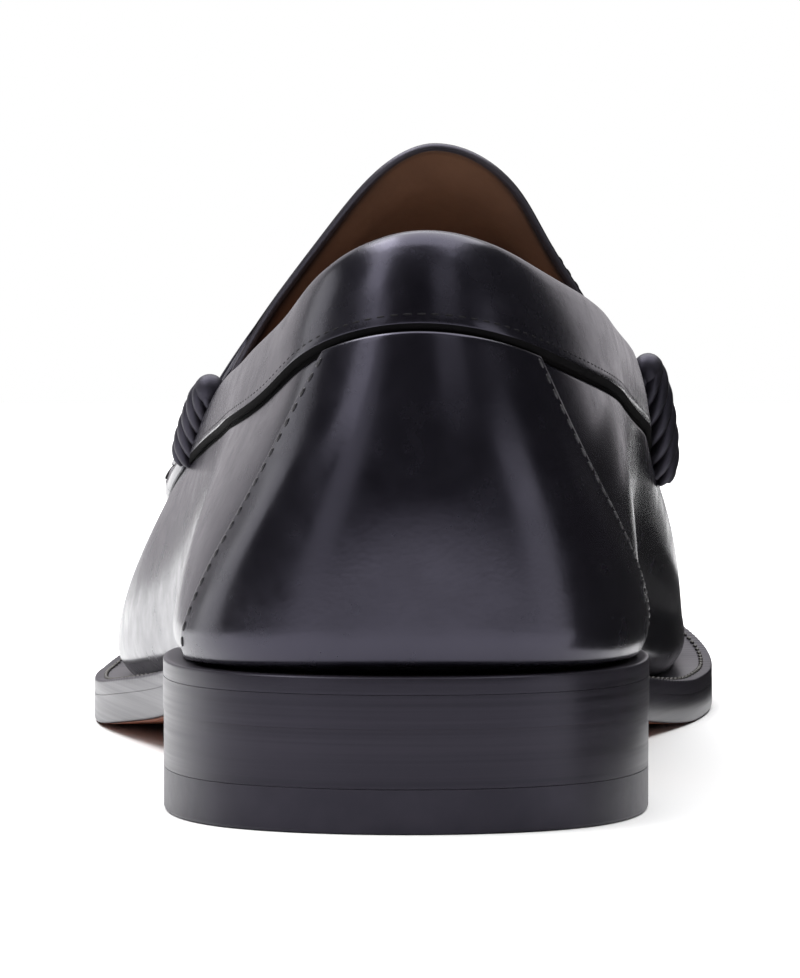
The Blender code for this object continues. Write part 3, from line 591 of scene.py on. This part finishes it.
# collar band: folded over the topline, turned in along its lower edge
# each roll: upper end, lower end, drop below the topline, height above the seam, lift
rollEnds = {1: (1.0, 9.0, 0.8, 0.2, 0.8), -1: (2.0, 10.0, 2.4, -4.4, 3.4)}
bandSize = {
    "profile": [  # share of the band's height, distance off the last
        (0.0, -0.2), (-0.012, 0.1), (-0.014, 0.45), (-0.006, 0.75), (0.01, 0.95), (0.035, 1.05),
        (0.07, 1.1), (0.12, 1.15), (0.2, 1.22), (0.3, 1.36), (0.45, 1.5), (0.6, 1.56), (0.74, 1.55),
        (0.83, 1.45), (0.9, 1.2), (0.95, 0.75), (0.985, 0.15), (1.0, -0.5), (0.995, -1.2),
        (0.97, -1.85), (0.925, -2.35), (0.86, -2.6), (0.78, -2.65), (0.7, -2.6), (0.66, -2.2),
    ],
    "stitch": {"pitch": 1.9, "length": 1.4, "wide": 0.34, "high": 0.1},
    "stitchShare": 0.09, "stitchOff": 1.07, "shadeRows": 4, "endTuck": 0.35, "endRun": 5.0, "endShort": 2.4,
}


def rollAt(side, share):
    ends = rollEnds[side]
    return throatAt + mix(ends[1], ends[0], share)


def bandAt(column, share):
    end = np.where(column > 0, rollAt(1, np.clip(share, 0, 1)), rollAt(-1, np.clip(share, 0, 1)))
    return column * (end - bandSize["endShort"])


def makeBand():
    profile = np.array(bandSize["profile"] + bandSize["profile"][:1])

    def place(column, i):
        share, off = profile[i.astype(int)].T
        at = bandAt(column, share)
        fromEnd = softStep((1 - np.abs(column)) * throatAt / bandSize["endRun"])
        off = mix(np.minimum(off, bandSize["endTuck"]), off, fromEnd)  # both ends slip under the rolls
        return offLast(at, levelRise(at, 1 + share), off)

    # the band's lowest rows, its turned-in lower edge, take the painted groove shade
    paint = lambda column, i: 1 if i < bandSize["shadeRows"] else 0
    bm = laidGrid(np.linspace(-1, 1, 241), np.arange(len(profile)), place, paint=paint)
    return asPiece("collarBand", closeUp(bm), [bandLeather, grooveShade], ["collar_band"])


makeBand()
columns = np.linspace(-0.96, 0.96, 500)
share = np.full(500, bandSize["stitchShare"])
at = bandAt(columns, share)
rise = levelRise(at, 1 + share)
stitchRow("bandStitches", offLast(at, rise, bandSize["stitchOff"]), lastNormal(at, rise),
          bandSize["stitch"], bandThread)
print("collar band made")

# heel counter: back patch whose edges spread towards the sole
counterSize = {
    # share of the wall's height, reach on the lateral side, reach on the medial side
    "edge": [(0.0, 45.0, 75.0), (0.35, 38.5, 54.0), (0.7, 25.5, 33.5), (1.0, 14.0, 22.5)],
    "off": 1.0, "rest": 0.1, "thick": 0.7, "round": 0.6, "rimRun": 1.6, "low": 0.02, "high": 0.981,
    "tall": 46, "bulge": 0.9, "bulgeAt": 0.5, "bulgeWide": 0.28, "bulgeFade": 16, "shadeRim": 0.006,
    "stitch": {"pitch": 2.4, "length": 1.7, "wide": 0.4, "high": 0.2},
    "stitchIn": 1.6, "stitchSpan": (0.075, 0.955),
}
counterLateral = naturalCurve([e[0] for e in counterSize["edge"]], [e[1] for e in counterSize["edge"]])
counterMedial = naturalCurve([e[0] for e in counterSize["edge"]], [e[2] for e in counterSize["edge"]])


def counterEnd(column, share):
    return np.where(column > 0, counterLateral(share), counterMedial(share))


def makeCounter():
    size = counterSize
    inner = np.linspace(-1, 1, 121)[1:-1]
    rim = np.array([0.0, 0.15, 0.4, 0.8, 1.2])  # mm from the edge
    columns = np.arange(len(inner) + 2 * len(rim))
    rows = np.concatenate([size["low"] + np.array([0, 0.003, 0.008, 0.016]),
                           np.linspace(size["low"] + 0.03, size["high"] - 0.03, 40),
                           size["high"] - np.array([0.016, 0.008, 0.003, 0])])

    def place(i, share):
        i = i.astype(int)
        count = len(rim)
        last = len(inner) + 2 * count - 1
        left, right = i < count, i > last - count
        fromEdge = np.where(left, rim[np.clip(i, 0, count - 1)], rim[np.clip(last - i, 0, count - 1)])
        within = inner[np.clip(i - count, 0, len(inner) - 1)]
        side = np.where(left, -1.0, np.where(right, 1.0, np.sign(within)))
        end = counterEnd(side, share)
        reach = np.where(left | right, end - fromEdge, (end - size["rimRun"]) * np.abs(within))
        at = side * reach
        drop = np.minimum(np.abs(end - reach), size["round"]) / size["round"]
        topDrop = np.clip((size["high"] - share) * size["tall"] / size["round"], 0, 1)
        lowDrop = np.clip((share - size["low"]) * size["tall"] / size["round"], 0, 1)
        rounding = np.sqrt(1 - (1 - np.minimum(np.minimum(drop, topDrop), lowDrop)) ** 2)
        bulge = size["bulge"] * np.exp(-((share - size["bulgeAt"]) / size["bulgeWide"]) ** 2)
        bulge *= softStep(np.abs(end - reach) / size["bulgeFade"])
        off = size["rest"] + (size["off"] - size["rest"]) * rounding + bulge
        return offLast(at, levelRise(at, share), off)

    # the counter's top rim under the band takes the painted groove shade
    paint = lambda i, share: 1 if share > size["high"] - size["shadeRim"] else 0
    bm = laidGrid(columns, rows, place, paint=paint)
    bmesh.ops.reverse_faces(bm, faces=bm.faces)
    piece = asPiece("heelCounter", bm, [blackLeather, grooveShade], ["heel_counter"])
    thicken(piece, size["thick"])
    return piece


makeCounter()
for label, side in (("Lateral", 1), ("Medial", -1)):
    share = np.linspace(*counterSize["stitchSpan"], 300)
    at = side * (counterEnd(np.full(300, side), share) - counterSize["stitchIn"])
    rise = levelRise(at, share)
    stitchRow("counterStitches" + label, offLast(at, rise, counterSize["off"] + hair), lastNormal(at, rise),
              counterSize["stitch"], seamThread)
print("heel counter made")

# apron with its raised seam, and the tongue's rolled edge
apronSize = {"off": 1.55, "thick": 0.9, "foot": 0.2, "round": 0.03, "lip": 1.1, "lipAt": 0.07,
             "lipWide": 0.045, "lipFade": 8.0, "strapFront": 26.0, "clear": 4.75,
             "thinOff": 1.45, "thinRun": 7.0,
             "stitch": {"pitch": 4.2, "length": 4.4, "wide": 0.9, "high": 0.45}}


def rollHeight(side, at):
    ends = rollEnds[side]
    part = (at - throatAt - ends[0]) / (ends[1] - ends[0])
    high = ring(side * (throatAt + ends[0]))[0, topCol] - ends[2]
    low = ring(side * (throatAt + ends[1]))[0, seamCol] + ends[3]
    return mix(high, low, part)


def apronLow(side):
    ats = np.linspace(throatAt, toeAt, 200)
    height = np.maximum(ring(side * ats)[:, seamCol], rollHeight(side, ats) + apronSize["clear"])
    table = riseAtHeight(side * ats, height)
    return lambda at: np.interp(at, ats, table)


apronFoot = {1: apronLow(1), -1: apronLow(-1)}


def apronOffset(at, share):
    size = apronSize
    inFront = np.clip((at - throatAt - size["strapFront"]) / size["lipFade"] - 1, 0, 1)
    lip = size["lip"] * inFront * np.exp(-((share - size["lipAt"]) / size["lipWide"]) ** 2)
    edge = np.sqrt(1 - (1 - np.clip(share / size["round"], 0, 1)) ** 2)
    skived = mix(size["thinOff"], size["off"], softStep((at - throatAt) / size["thinRun"]))
    return size["foot"] + (skived - size["foot"]) * edge + lip


def makeApron():
    ats = np.linspace(throatAt, toeAt, 111)
    shares = np.concatenate([[0, 0.004, 0.011, 0.02, 0.03], np.linspace(0.04, 0.16, 13),
                             np.linspace(0.2, 1, 25)])
    across = np.concatenate([shares, 2 - shares[-2::-1]])

    def place(at, s):
        side = np.where(s <= 1, 1, -1)
        part = np.where(s <= 1, s, 2 - s)
        foot = np.where(side > 0, apronFoot[1](at), apronFoot[-1](at))
        return offLast(side * at, mix(foot, 1.0, part), apronOffset(at, part))

    bm = laidGrid(ats, across, place)
    bmesh.ops.remove_doubles(bm, verts=bm.verts, dist=0.004 * mm)
    bmesh.ops.reverse_faces(bm, faces=bm.faces)
    piece = asPiece("apronPlug", bm, [blackLeather], ["apron"])
    thicken(piece, apronSize["thick"])
    return piece


def makeTongueEdge():
    size = {"from": 1.7, "in": 0.3, "low": 0.1, "lift": 0.72, "wide": 0.5, "thick": 0.66}
    levels = np.linspace(size["from"], 3.0, 60)
    levels = np.concatenate([levels, np.linspace(3.0, size["from"], 60)[1:]])
    sides = np.concatenate([np.ones(60), -np.ones(59)])
    rise = levelRise(sides * throatAt, levels)
    spots = offLast(sides * (throatAt + size["in"]), rise, size["low"] + size["lift"] * aboveCollar(levels))
    bm = tube(bmesh.new(), spots, lastNormal(sides * throatAt, rise), size["wide"], size["thick"], 12)
    return asPiece("tongueEdge", closeUp(bm), [cutEdge])


makeApron()
makeTongueEdge()
ats = np.linspace(throatAt + apronSize["strapFront"] + 2 * apronSize["lipFade"], toeAt, 160)
ats = np.concatenate([ats, -ats[-2::-1]])
foot = np.array([apronFoot[int(np.sign(a))](abs(a)) for a in ats])
rise = mix(foot, 1.0, apronSize["lipAt"])
stitchOff = apronSize["off"] + apronSize["lip"] - 0.1
stitchRow("apronStitches", offLast(ats, rise, stitchOff), lastNormal(ats, rise),
          apronSize["stitch"], bandThread, math.radians(78))
print("apron made")

# saddle strap across the instep
strapSize = {"back": (16.0, 11.0), "front": (26.0, 33.0), "sweep": 1.5, "off": 3.1, "thick": 1.0, "end": 0.02,
             "pared": 2.1, "pareRun": 0.5, "round": 0.6, "roundRun": 0.07, "stitchSpan": (0.4, 1.6),
             "stitch": {"pitch": 2.4, "length": 1.8, "wide": 0.5, "high": 0.26}}


def strapOff(s):  # the ends are pared down where they run to the rolls
    fromEnd = np.minimum(s, 2 - s) / strapSize["pareRun"]
    return mix(strapSize["pared"], strapSize["off"], softStep(fromEnd))


def strapPlace(s, across):
    size = strapSize
    side = np.where(s <= 1, 1, -1)
    part = np.where(s <= 1, s, 2 - s)
    sweep = part ** size["sweep"]
    back, front = [mix(size[edge][0], size[edge][1], sweep) for edge in ("back", "front")]
    at = throatAt + mix(back, front, across)
    foot = np.where(side > 0, apronFoot[1](at), apronFoot[-1](at)) + size["end"]
    return side * at, mix(foot, 1.0, part)


def makeStrap():
    size = strapSize
    shares = np.linspace(0, 2, 101)
    across = np.concatenate([[0, 0.012, 0.035, 0.07], np.linspace(0.12, 0.88, 15), [0.93, 0.965, 0.988, 1]])

    def place(s, a):
        at, rise = strapPlace(s, a)
        fromEdge = np.clip(np.minimum(a, 1 - a) / size["roundRun"], 0, 1)
        rounding = np.sqrt(1 - (1 - fromEdge) ** 2)
        return offLast(at, rise, strapOff(s) - size["round"] * (1 - rounding))

    bm = laidGrid(shares, across, place)
    piece = asPiece("saddleStrap", bm, [blackLeather], ["strap"])
    thicken(piece, size["thick"])
    return piece


makeStrap()
for label, across in (("Back", 0.13), ("Front", 0.87)):
    s = np.linspace(*strapSize["stitchSpan"], 300)
    at, rise = strapPlace(s, np.full(300, across))
    stitchRow("strapStitches" + label, offLast(at, rise, strapOff(s) + hair), lastNormal(at, rise),
              strapSize["stitch"], bandThread)
print("strap made")

# rolled strap ends, wound like a rope
rollSize = {"radius": 2.8, "strands": 5, "strand": 1.2, "turns": 1.25, "core": 1.9,
            "cap": 2.4, "capLong": 2.6, "capAt": 4,
            "rest": {1: -0.9, -1: -0.1}, "lift": 0.75, "sink": {1: 1.3, -1: 2.3}}


def makeRoll(label, side, node):
    size = rollSize
    ends = rollEnds[side]
    part = np.linspace(0, 1, 49)
    at = throatAt + mix(ends[0], ends[1], part)
    rise = riseAtHeight(side * at, rollHeight(side, at))
    stand = size["rest"][side] + size["lift"] * ends[4] * (1 - part) - size["sink"][side] * part**2
    axis = offLast(side * at, rise, size["radius"] + stand)
    along, normals, across = pathFrame(axis, lastNormal(side * at, rise))
    taper = np.sqrt(np.clip(1 - (2 * part - 1) ** 6, 0, 1))
    bm = bmesh.new()
    for k in range(size["strands"]):
        angle = 2 * math.pi * (k / size["strands"] + side * size["turns"] * part)
        reach = (size["radius"] - size["strand"]) * mix(0.5, 1.0, taper)
        out = np.cos(angle)[:, None] * across + np.sin(angle)[:, None] * normals
        tube(bm, axis + reach[:, None] * out, out, size["strand"] * taper, size["strand"] * taper, 12)
    tube(bm, axis, normals, size["core"] * taper, size["core"] * taper, 16)
    dome = np.sin(np.linspace(-1, 1, 17) * math.pi / 2)
    radius = size["cap"] * np.sqrt(np.clip(1 - dome ** 2, 0, 1))
    k = size["capAt"]
    cap = axis[k] + np.outer(dome * size["capLong"], along[k])
    tube(bm, cap, np.tile(normals[k], (17, 1)), radius, radius, 24)
    return asPiece("rope" + label, closeUp(bm), [trimLeather], [node])


makeRoll("Lateral", 1, "roll_lateral")
makeRoll("Medial", -1, "roll_medial")
print("rolls made")

# tie and tassels
tasselSize = {"start": 40.0, "rise": (0.955, 0.76), "off": 5.2, "strips": 22, "skirtAt": 17.5,
              "end": 42.0, "stripWide": 1.15, "stripThick": 0.45,
              "skirtWide": (2.6, 6.3), "skirtThick": (2.0, 2.7)}
# way along the tassel, half width, half thickness
tasselTable = [(0, 1.4, 1.1), (9, 1.5, 1.2), (10, 3.4, 2.6), (12, 4.3, 3.3), (14.5, 4.6, 3.5),
               (16.2, 4.2, 3.2), (17, 3.5, 2.7), (17.8, 3.7, 2.8)]


def tasselAxis(side, along):
    size = tasselSize
    at = throatAt + size["start"] + along
    rise = mix(size["rise"][0], size["rise"][1], along / size["end"])
    return side * at, rise


def makeTassel(label, side, node):
    size = tasselSize
    chance = random.Random(7 + side)
    along = np.array([t[0] for t in tasselTable])
    fine = np.linspace(0, along[-1], 60)
    wide = np.interp(fine, along, [t[1] for t in tasselTable])
    thick = np.interp(fine, along, [t[2] for t in tasselTable])
    wraps = 1 + 0.05 * np.sin(fine * 2 * math.pi / 1.5) * (fine > 10)
    ends = np.sqrt(np.clip(np.minimum(fine + 0.02, along[-1] - fine) / 0.6, 0, 1))
    at, rise = tasselAxis(side, fine)
    axis = offLast(at, rise, size["off"])
    bm = tube(bmesh.new(), axis, lastNormal(at, rise), wide * wraps * ends, thick * wraps * ends, 24)
    run = np.linspace(size["skirtAt"] - 1.0, size["end"], 14)
    for k in range(size["strips"]):
        angle = 2 * math.pi * (k + chance.uniform(-0.25, 0.25)) / size["strips"]
        end = size["end"] - chance.uniform(0, 1.5)
        path = np.linspace(run[0], end, 14)
        grow = (path - run[0]) / (size["end"] - run[0])
        layer = 1.0 if k % 2 else 0.72
        at, rise = tasselAxis(side, path)
        normals = lastNormal(at, rise)
        middleLine = offLast(at, rise, size["off"])
        across = np.cross(unit(np.gradient(middleLine, axis=0)), normals)
        wide = mix(*size["skirtWide"], grow ** 0.8) * layer
        thick = mix(*size["skirtThick"], grow) * layer
        wave = 0.35 * np.sin(path * 0.35 + chance.uniform(0, 6.3)) * grow
        spots = middleLine + (math.cos(angle) * wide + wave)[:, None] * across
        spots = spots + (math.sin(angle) * thick)[:, None] * normals
        out = math.cos(angle) * 0.5 * across + math.sin(angle) * normals + 0.05 * across
        edge = np.minimum(1, np.minimum(np.arange(14), np.arange(14)[::-1]) + 0.01)
        tube(bm, spots, out, size["stripWide"] * edge, size["stripThick"] * edge, 8)
    return asPiece("tassel" + label, closeUp(bm), [trimLeather], [node])


makeTassel("Lateral", 1, "tassel_lateral")
makeTassel("Medial", -1, "tassel_medial")


def makeTie():
    size = {"start": 36.5, "off": 4.5, "half": 4.2, "wide": 2.2, "high": 2.5, "bind": 0.1}
    part = np.linspace(-1, 1, 41)
    at = np.full(41, throatAt + size["start"])
    centre = offLast(at[:1], [1.0], size["off"])[0]
    normals = lastNormal(at, np.ones(41))
    swell = np.sqrt(np.clip(1 - part**4, 0, 1)) * (1 + size["bind"] * np.cos(part * 9.5))
    spots = centre + np.outer(part * size["half"], (1, 0, 0))
    bm = tube(bmesh.new(), spots, normals, size["wide"] * swell, size["high"] * swell, 20)
    return asPiece("tasselTie", closeUp(bm), [trimLeather], ["tassel_knot"])


makeTie()
print("tassels made")

# insole with its leather sock
sockSize = {"thick": 3.0, "margin": 4.35, "free": 0.1, "curl": 1.2}


def stationAts(count, end):
    part = np.linspace(0, 1, count)
    return end * (part * 0.75 + 0.25 * (1 - np.cos(part * math.pi)) / 2)


def acrossSole(inset, height):
    def place(at, s):
        left = soleEdge(at, inset(at))[0]
        right = soleEdge(-at, inset(at))[0]
        plan = mix(left, right, ((s + 1) / 2)[:, None])
        return np.column_stack([plan, height(plan[:, 1], s)])
    return place


def makeSock():
    size = sockSize
    inset = lambda at: ring(at)[:, flangeCol] + size["margin"]
    height = lambda y, s: weltTop(y) + sole["gap"] + size["thick"] + size["curl"] * np.abs(s) ** 12
    across = np.sin(np.linspace(-1, 1, 41) * math.pi / 2)
    bm = laidGrid(stationAts(121, toeAt), across, acrossSole(inset, height))
    weld(bm)
    bmesh.ops.recalc_face_normals(bm, faces=bm.faces)
    if sum(f.normal.z for f in bm.faces) < 0:
        bmesh.ops.reverse_faces(bm, faces=bm.faces)
    piece = asPiece("insoleSock", bm, [sockLeather], ["insole"])
    thicken(piece, size["thick"] - size["free"])
    return piece


makeSock()

# welt, outsole and heel, flush at their edges
weltSize = {"wide": 15.0, "round": 0.5, "stitchIn": 1.9, "fudge": 0.16, "fudgePitch": 2.2,
            "heelFree": 80, "fudgeFade": 15,
            "stitch": {"pitch": 3.4, "length": 2.3, "wide": 0.8, "high": 0.35}}
outsoleSize = {"round": 0.8}
heelSize = {"length": 71.0, "inset": 0.12, "bow": 4.0, "lift": 6.2, "round": 0.5, "crisp": 0.05}


def makeWelt():
    size = weltSize
    r = size["round"]
    low = sole["thick"] + 0.03
    high = sole["thick"] + sole["gap"] + sole["welt"]
    profile = np.array([
        (size["wide"], low), (6.0, low), (0.1, low), (0.04, low + 0.06), (0.03, low + 0.6), (0.03, high - r),
        (0.06, high - 0.55 * r), (0.16, high - 0.22 * r), (0.35, high - 0.05 * r), (r + 0.1, high),
        (1.0, high), (2.6, high), (6.0, high), (size["wide"], high), (size["wide"], low)])

    def place(at, i):
        inset, z = profile[i.astype(int)].T
        notch = size["fudge"] * (0.5 - 0.5 * np.cos(2 * math.pi * at / size["fudgePitch"]))
        fromHeel = np.minimum(at, around - at) - size["heelFree"]  # the heel's rim is smooth
        notch *= softStep(fromHeel / size["fudgeFade"])
        onTop = (z > high - 0.6 * r) & (inset < 1.5)
        plan = soleEdge(at, inset)[0]
        return np.column_stack([plan, groundZ(plan[:, 1]) + z - np.where(onTop, notch, 0)])

    count = int(around / size["fudgePitch"]) * 4
    bm = laidGrid(np.linspace(0, around, count + 1), np.arange(len(profile)), place)
    return asPiece("weltStrip", closeUp(bm), [edgeBlack], ["welt"], 20)


makeWelt()
start = weltSize["heelFree"] + weltSize["fudgeFade"]
at = np.linspace(start, around - start, 1600)
plan = soleEdge(at, weltSize["stitchIn"])[0]
spots = np.column_stack([plan, weltTop(plan[:, 1]) + hair])
stitchRow("weltStitches", spots, np.tile((0.0, 0.0, 1.0), (1600, 1)),
          weltSize["stitch"], weltThread)


def raisedTop(bm):
    raised = bmesh.ops.extrude_face_region(bm, geom=list(bm.faces))["geom"]
    return [g for g in raised if isinstance(g, bmesh.types.BMVert)]


def roundRim(bm, rim, radius, steps):
    bmesh.ops.bevel(bm, geom=rim, offset=radius * mm, offset_type="OFFSET", affect="EDGES", segments=steps,
                    profile=0.5, material=-1)


def makeOutsole():
    place = acrossSole(lambda at: 0.0 * at, lambda y, s: groundZ(y))
    bm = laidGrid(stationAts(181, toeAt), np.sin(np.linspace(-1, 1, 31) * math.pi / 2), place)
    weld(bm)
    bmesh.ops.translate(bm, verts=raisedTop(bm), vec=(0, 0, (sole["thick"] + hair) * mm))
    bmesh.ops.recalc_face_normals(bm, faces=bm.faces)
    rim = [e for e in bm.edges if len(e.link_faces) == 2 and e.calc_face_angle(0) > math.radians(60)
           and min(f.normal.z for f in e.link_faces) < -0.7
           and max(v.co.y for v in e.verts) > (heelSize["length"] - middle[1]) * mm]
    roundRim(bm, rim, outsoleSize["round"], 3)
    for face in bm.faces:
        face.material_index = 1 if face.normal.z < -0.85 else 0
    return asPiece("outsoleLeather", bm, [edgeBlack, soleBrown], ["outsole"], 20)


makeOutsole()


def heelOutline(inset):
    ats = np.linspace(0, throatAt, 400)
    breast = np.interp(heelSize["length"], soleEdge(ats)[0][:, 1], ats)
    return soleEdge(np.linspace(-breast, breast, 97), inset)[0]


def heelBlock(name, lowZ, highZ, roundLow, material, node):
    edge = heelOutline(heelSize["inset"])
    left, right = edge[-1], edge[0]
    part = np.linspace(0, 1, 17)[1:-1]
    front = mix(left[None], right[None], part[:, None])
    front[:, 1] -= heelSize["bow"] * np.sin(part * math.pi)
    outline = np.vstack([edge, front])
    bm = bmesh.new()
    bmesh.ops.create_circle(bm, cap_ends=True, segments=len(outline), radius=1.0)
    for v in bm.verts:
        turn = (math.atan2(v.co.y, v.co.x) % (2 * math.pi)) / (2 * math.pi)
        spot = outline[int(round(turn * len(outline))) % len(outline)]
        v.co = ((spot[0] - middle[0]) * mm, (spot[1] - middle[1]) * mm, 0)
    top = raisedTop(bm)
    for v in bm.verts:
        v.co.z = lowZ * mm
    for v in top:
        v.co.z = float(highZ(v.co.y / mm + middle[1])) * mm
    bmesh.ops.recalc_face_normals(bm, faces=bm.faces)
    for roundBy, up in ((roundLow, -0.7), (heelSize["crisp"], 0.7)):
        rim = [e for e in bm.edges if any(f.normal.z * up > 0.49 for f in e.link_faces)]
        roundRim(bm, rim, roundBy, 2)
    return asPiece(name, bm, [material], [node], 20)


heelBlock("heelStack", heelSize["lift"] + hair, lambda y: np.ravel(groundZ(y))[0] + hair, heelSize["crisp"],
          stackBlack, "heel_stack")
heelBlock("heelLift", 0.0, lambda y: heelSize["lift"] - hair, heelSize["round"],
          rubber, "heel_lift")
print("sole and heel made")

# studio: pale paper, soft lights, camera at the photograph's angle
studio = {
    "eye": (0.0, -950.0, 92.4), "focal": 316.0, "pitch": -2.73, "yaw": 0.06, "floor": 1.5, "room": 0.025,
    "flags": [  # middle and size in metres
        ((0.1125, -0.04, 0.032), (0.065, 0.20, 0.064)), ((0.115, 0.095, 0.0225), (0.09, 0.07, 0.045)),
        ((0.108, 0.125, 0.007), (0.104, 0.19, 0.014)),
    ],
    "aim": (0.0, -0.1, 0.05),
}
lights = [  # name, place and size in metres, watts
    ("sweepLeft", (-1.7, 1.05, 0.4), 0.9, 0.9, 3.3), ("leftSoft", (-1.3, 0.1, 2.0), 1.6, 1.0, 28),
    ("leftHigh", (-1.46, -0.85, 1.2), 0.7, 0.7, 4.6), ("stripLeft", (-1.25, -1.3, 0.5), 0.55, 0.9, 1.5),
    ("fillRight", (0.92, -1.4, 1.15), 0.8, 0.6, 1.2), ("stripRight", (1.53, -0.62, 0.32), 0.62, 0.6, 1.6),
]


def makeFloor():
    bm = bmesh.new()
    bmesh.ops.create_grid(bm, x_segments=8, y_segments=8, size=studio["floor"])
    floor = asObject("studioFloor", bm, [studioWhite()])


def softLight(name, spot, aim, wide, tall, power, colour=(1, 1, 1)):
    data = bpy.data.lights.new(name, "AREA")
    data.shape = "RECTANGLE"
    data.size, data.size_y = wide, tall
    data.energy = power
    data.color = colour
    light = bpy.data.objects.new(name, data)
    light.location = spot
    light.rotation_euler = (Vector(aim) - Vector(spot)).to_track_quat("-Z", "Y").to_euler()
    bpy.context.scene.collection.objects.link(light)
    light.visible_camera = False


def blackFlag():  # dark card beside the inner side, met by reflections alone
    n = Nodes("flag cloth")
    cloth = n.blend(n.noise(40, 2, 0.5), rgb(0.012, 0.012, 0.012), rgb(0.02, 0.02, 0.02))
    n.sockets(Base_Color=cloth, Roughness=0.9, Specular_IOR_Level=0.1)
    bm = bmesh.new()
    for spot, size in studio["flags"]:
        bmesh.ops.create_cube(bm, size=1.0, matrix=Matrix.Translation(spot) @ Matrix.Diagonal((*size, 1.0)))
    flag = asObject("blackFlag", bm, [n.material])
    flag.visible_camera = flag.visible_diffuse = flag.visible_shadow = False


def makeWorld():
    world = bpy.data.worlds.new("studio")
    bpy.context.scene.world = world
    world.use_nodes = True
    tree = world.node_tree
    back = tree.nodes["Background"]
    path = tree.nodes.new("ShaderNodeLightPath")
    blend = tree.nodes.new("ShaderNodeMix")
    blend.data_type = "RGBA"
    blend.inputs[6].default_value = (studio["room"], studio["room"], studio["room"] * 1.1, 1)
    blend.inputs[7].default_value = (1.0, 1.0, 1.0, 1)
    tree.links.new(path.outputs["Is Camera Ray"], blend.inputs["Factor"])
    tree.links.new(blend.outputs[2], back.inputs["Color"])


makeFloor()
makeWorld()
softLight("overhead", (0.0, 0.8, 2.6), (0.0, 0.8, 0.0), 4.4, 4.4, 228)
softLight("backdrop", (-0.15, 2.6, 1.0), (-0.15, 0.0, 0.9), 3.7, 2.0, 16, (1.0, 0.955, 1.0))
for name, spot, wide, tall, power in lights:
    softLight(name, spot, studio["aim"], wide, tall, power)
blackFlag()
camera = bpy.data.objects.new("photoCamera", bpy.data.cameras.new("photoCamera"))
camera.data.sensor_fit = "HORIZONTAL"
camera.data.sensor_width = 36.0
camera.data.lens = studio["focal"]
camera.data.clip_start = 0.05
camera.data.clip_end = 60.0
camera.location = (np.array(studio["eye"]) - middle) * mm
camera.rotation_euler = (math.radians(90 + studio["pitch"]), 0, math.radians(studio["yaw"]))
bpy.context.scene.collection.objects.link(camera)
bpy.context.scene.camera = camera
bpy.context.scene.view_settings.view_transform = "Standard"
print("studio made")
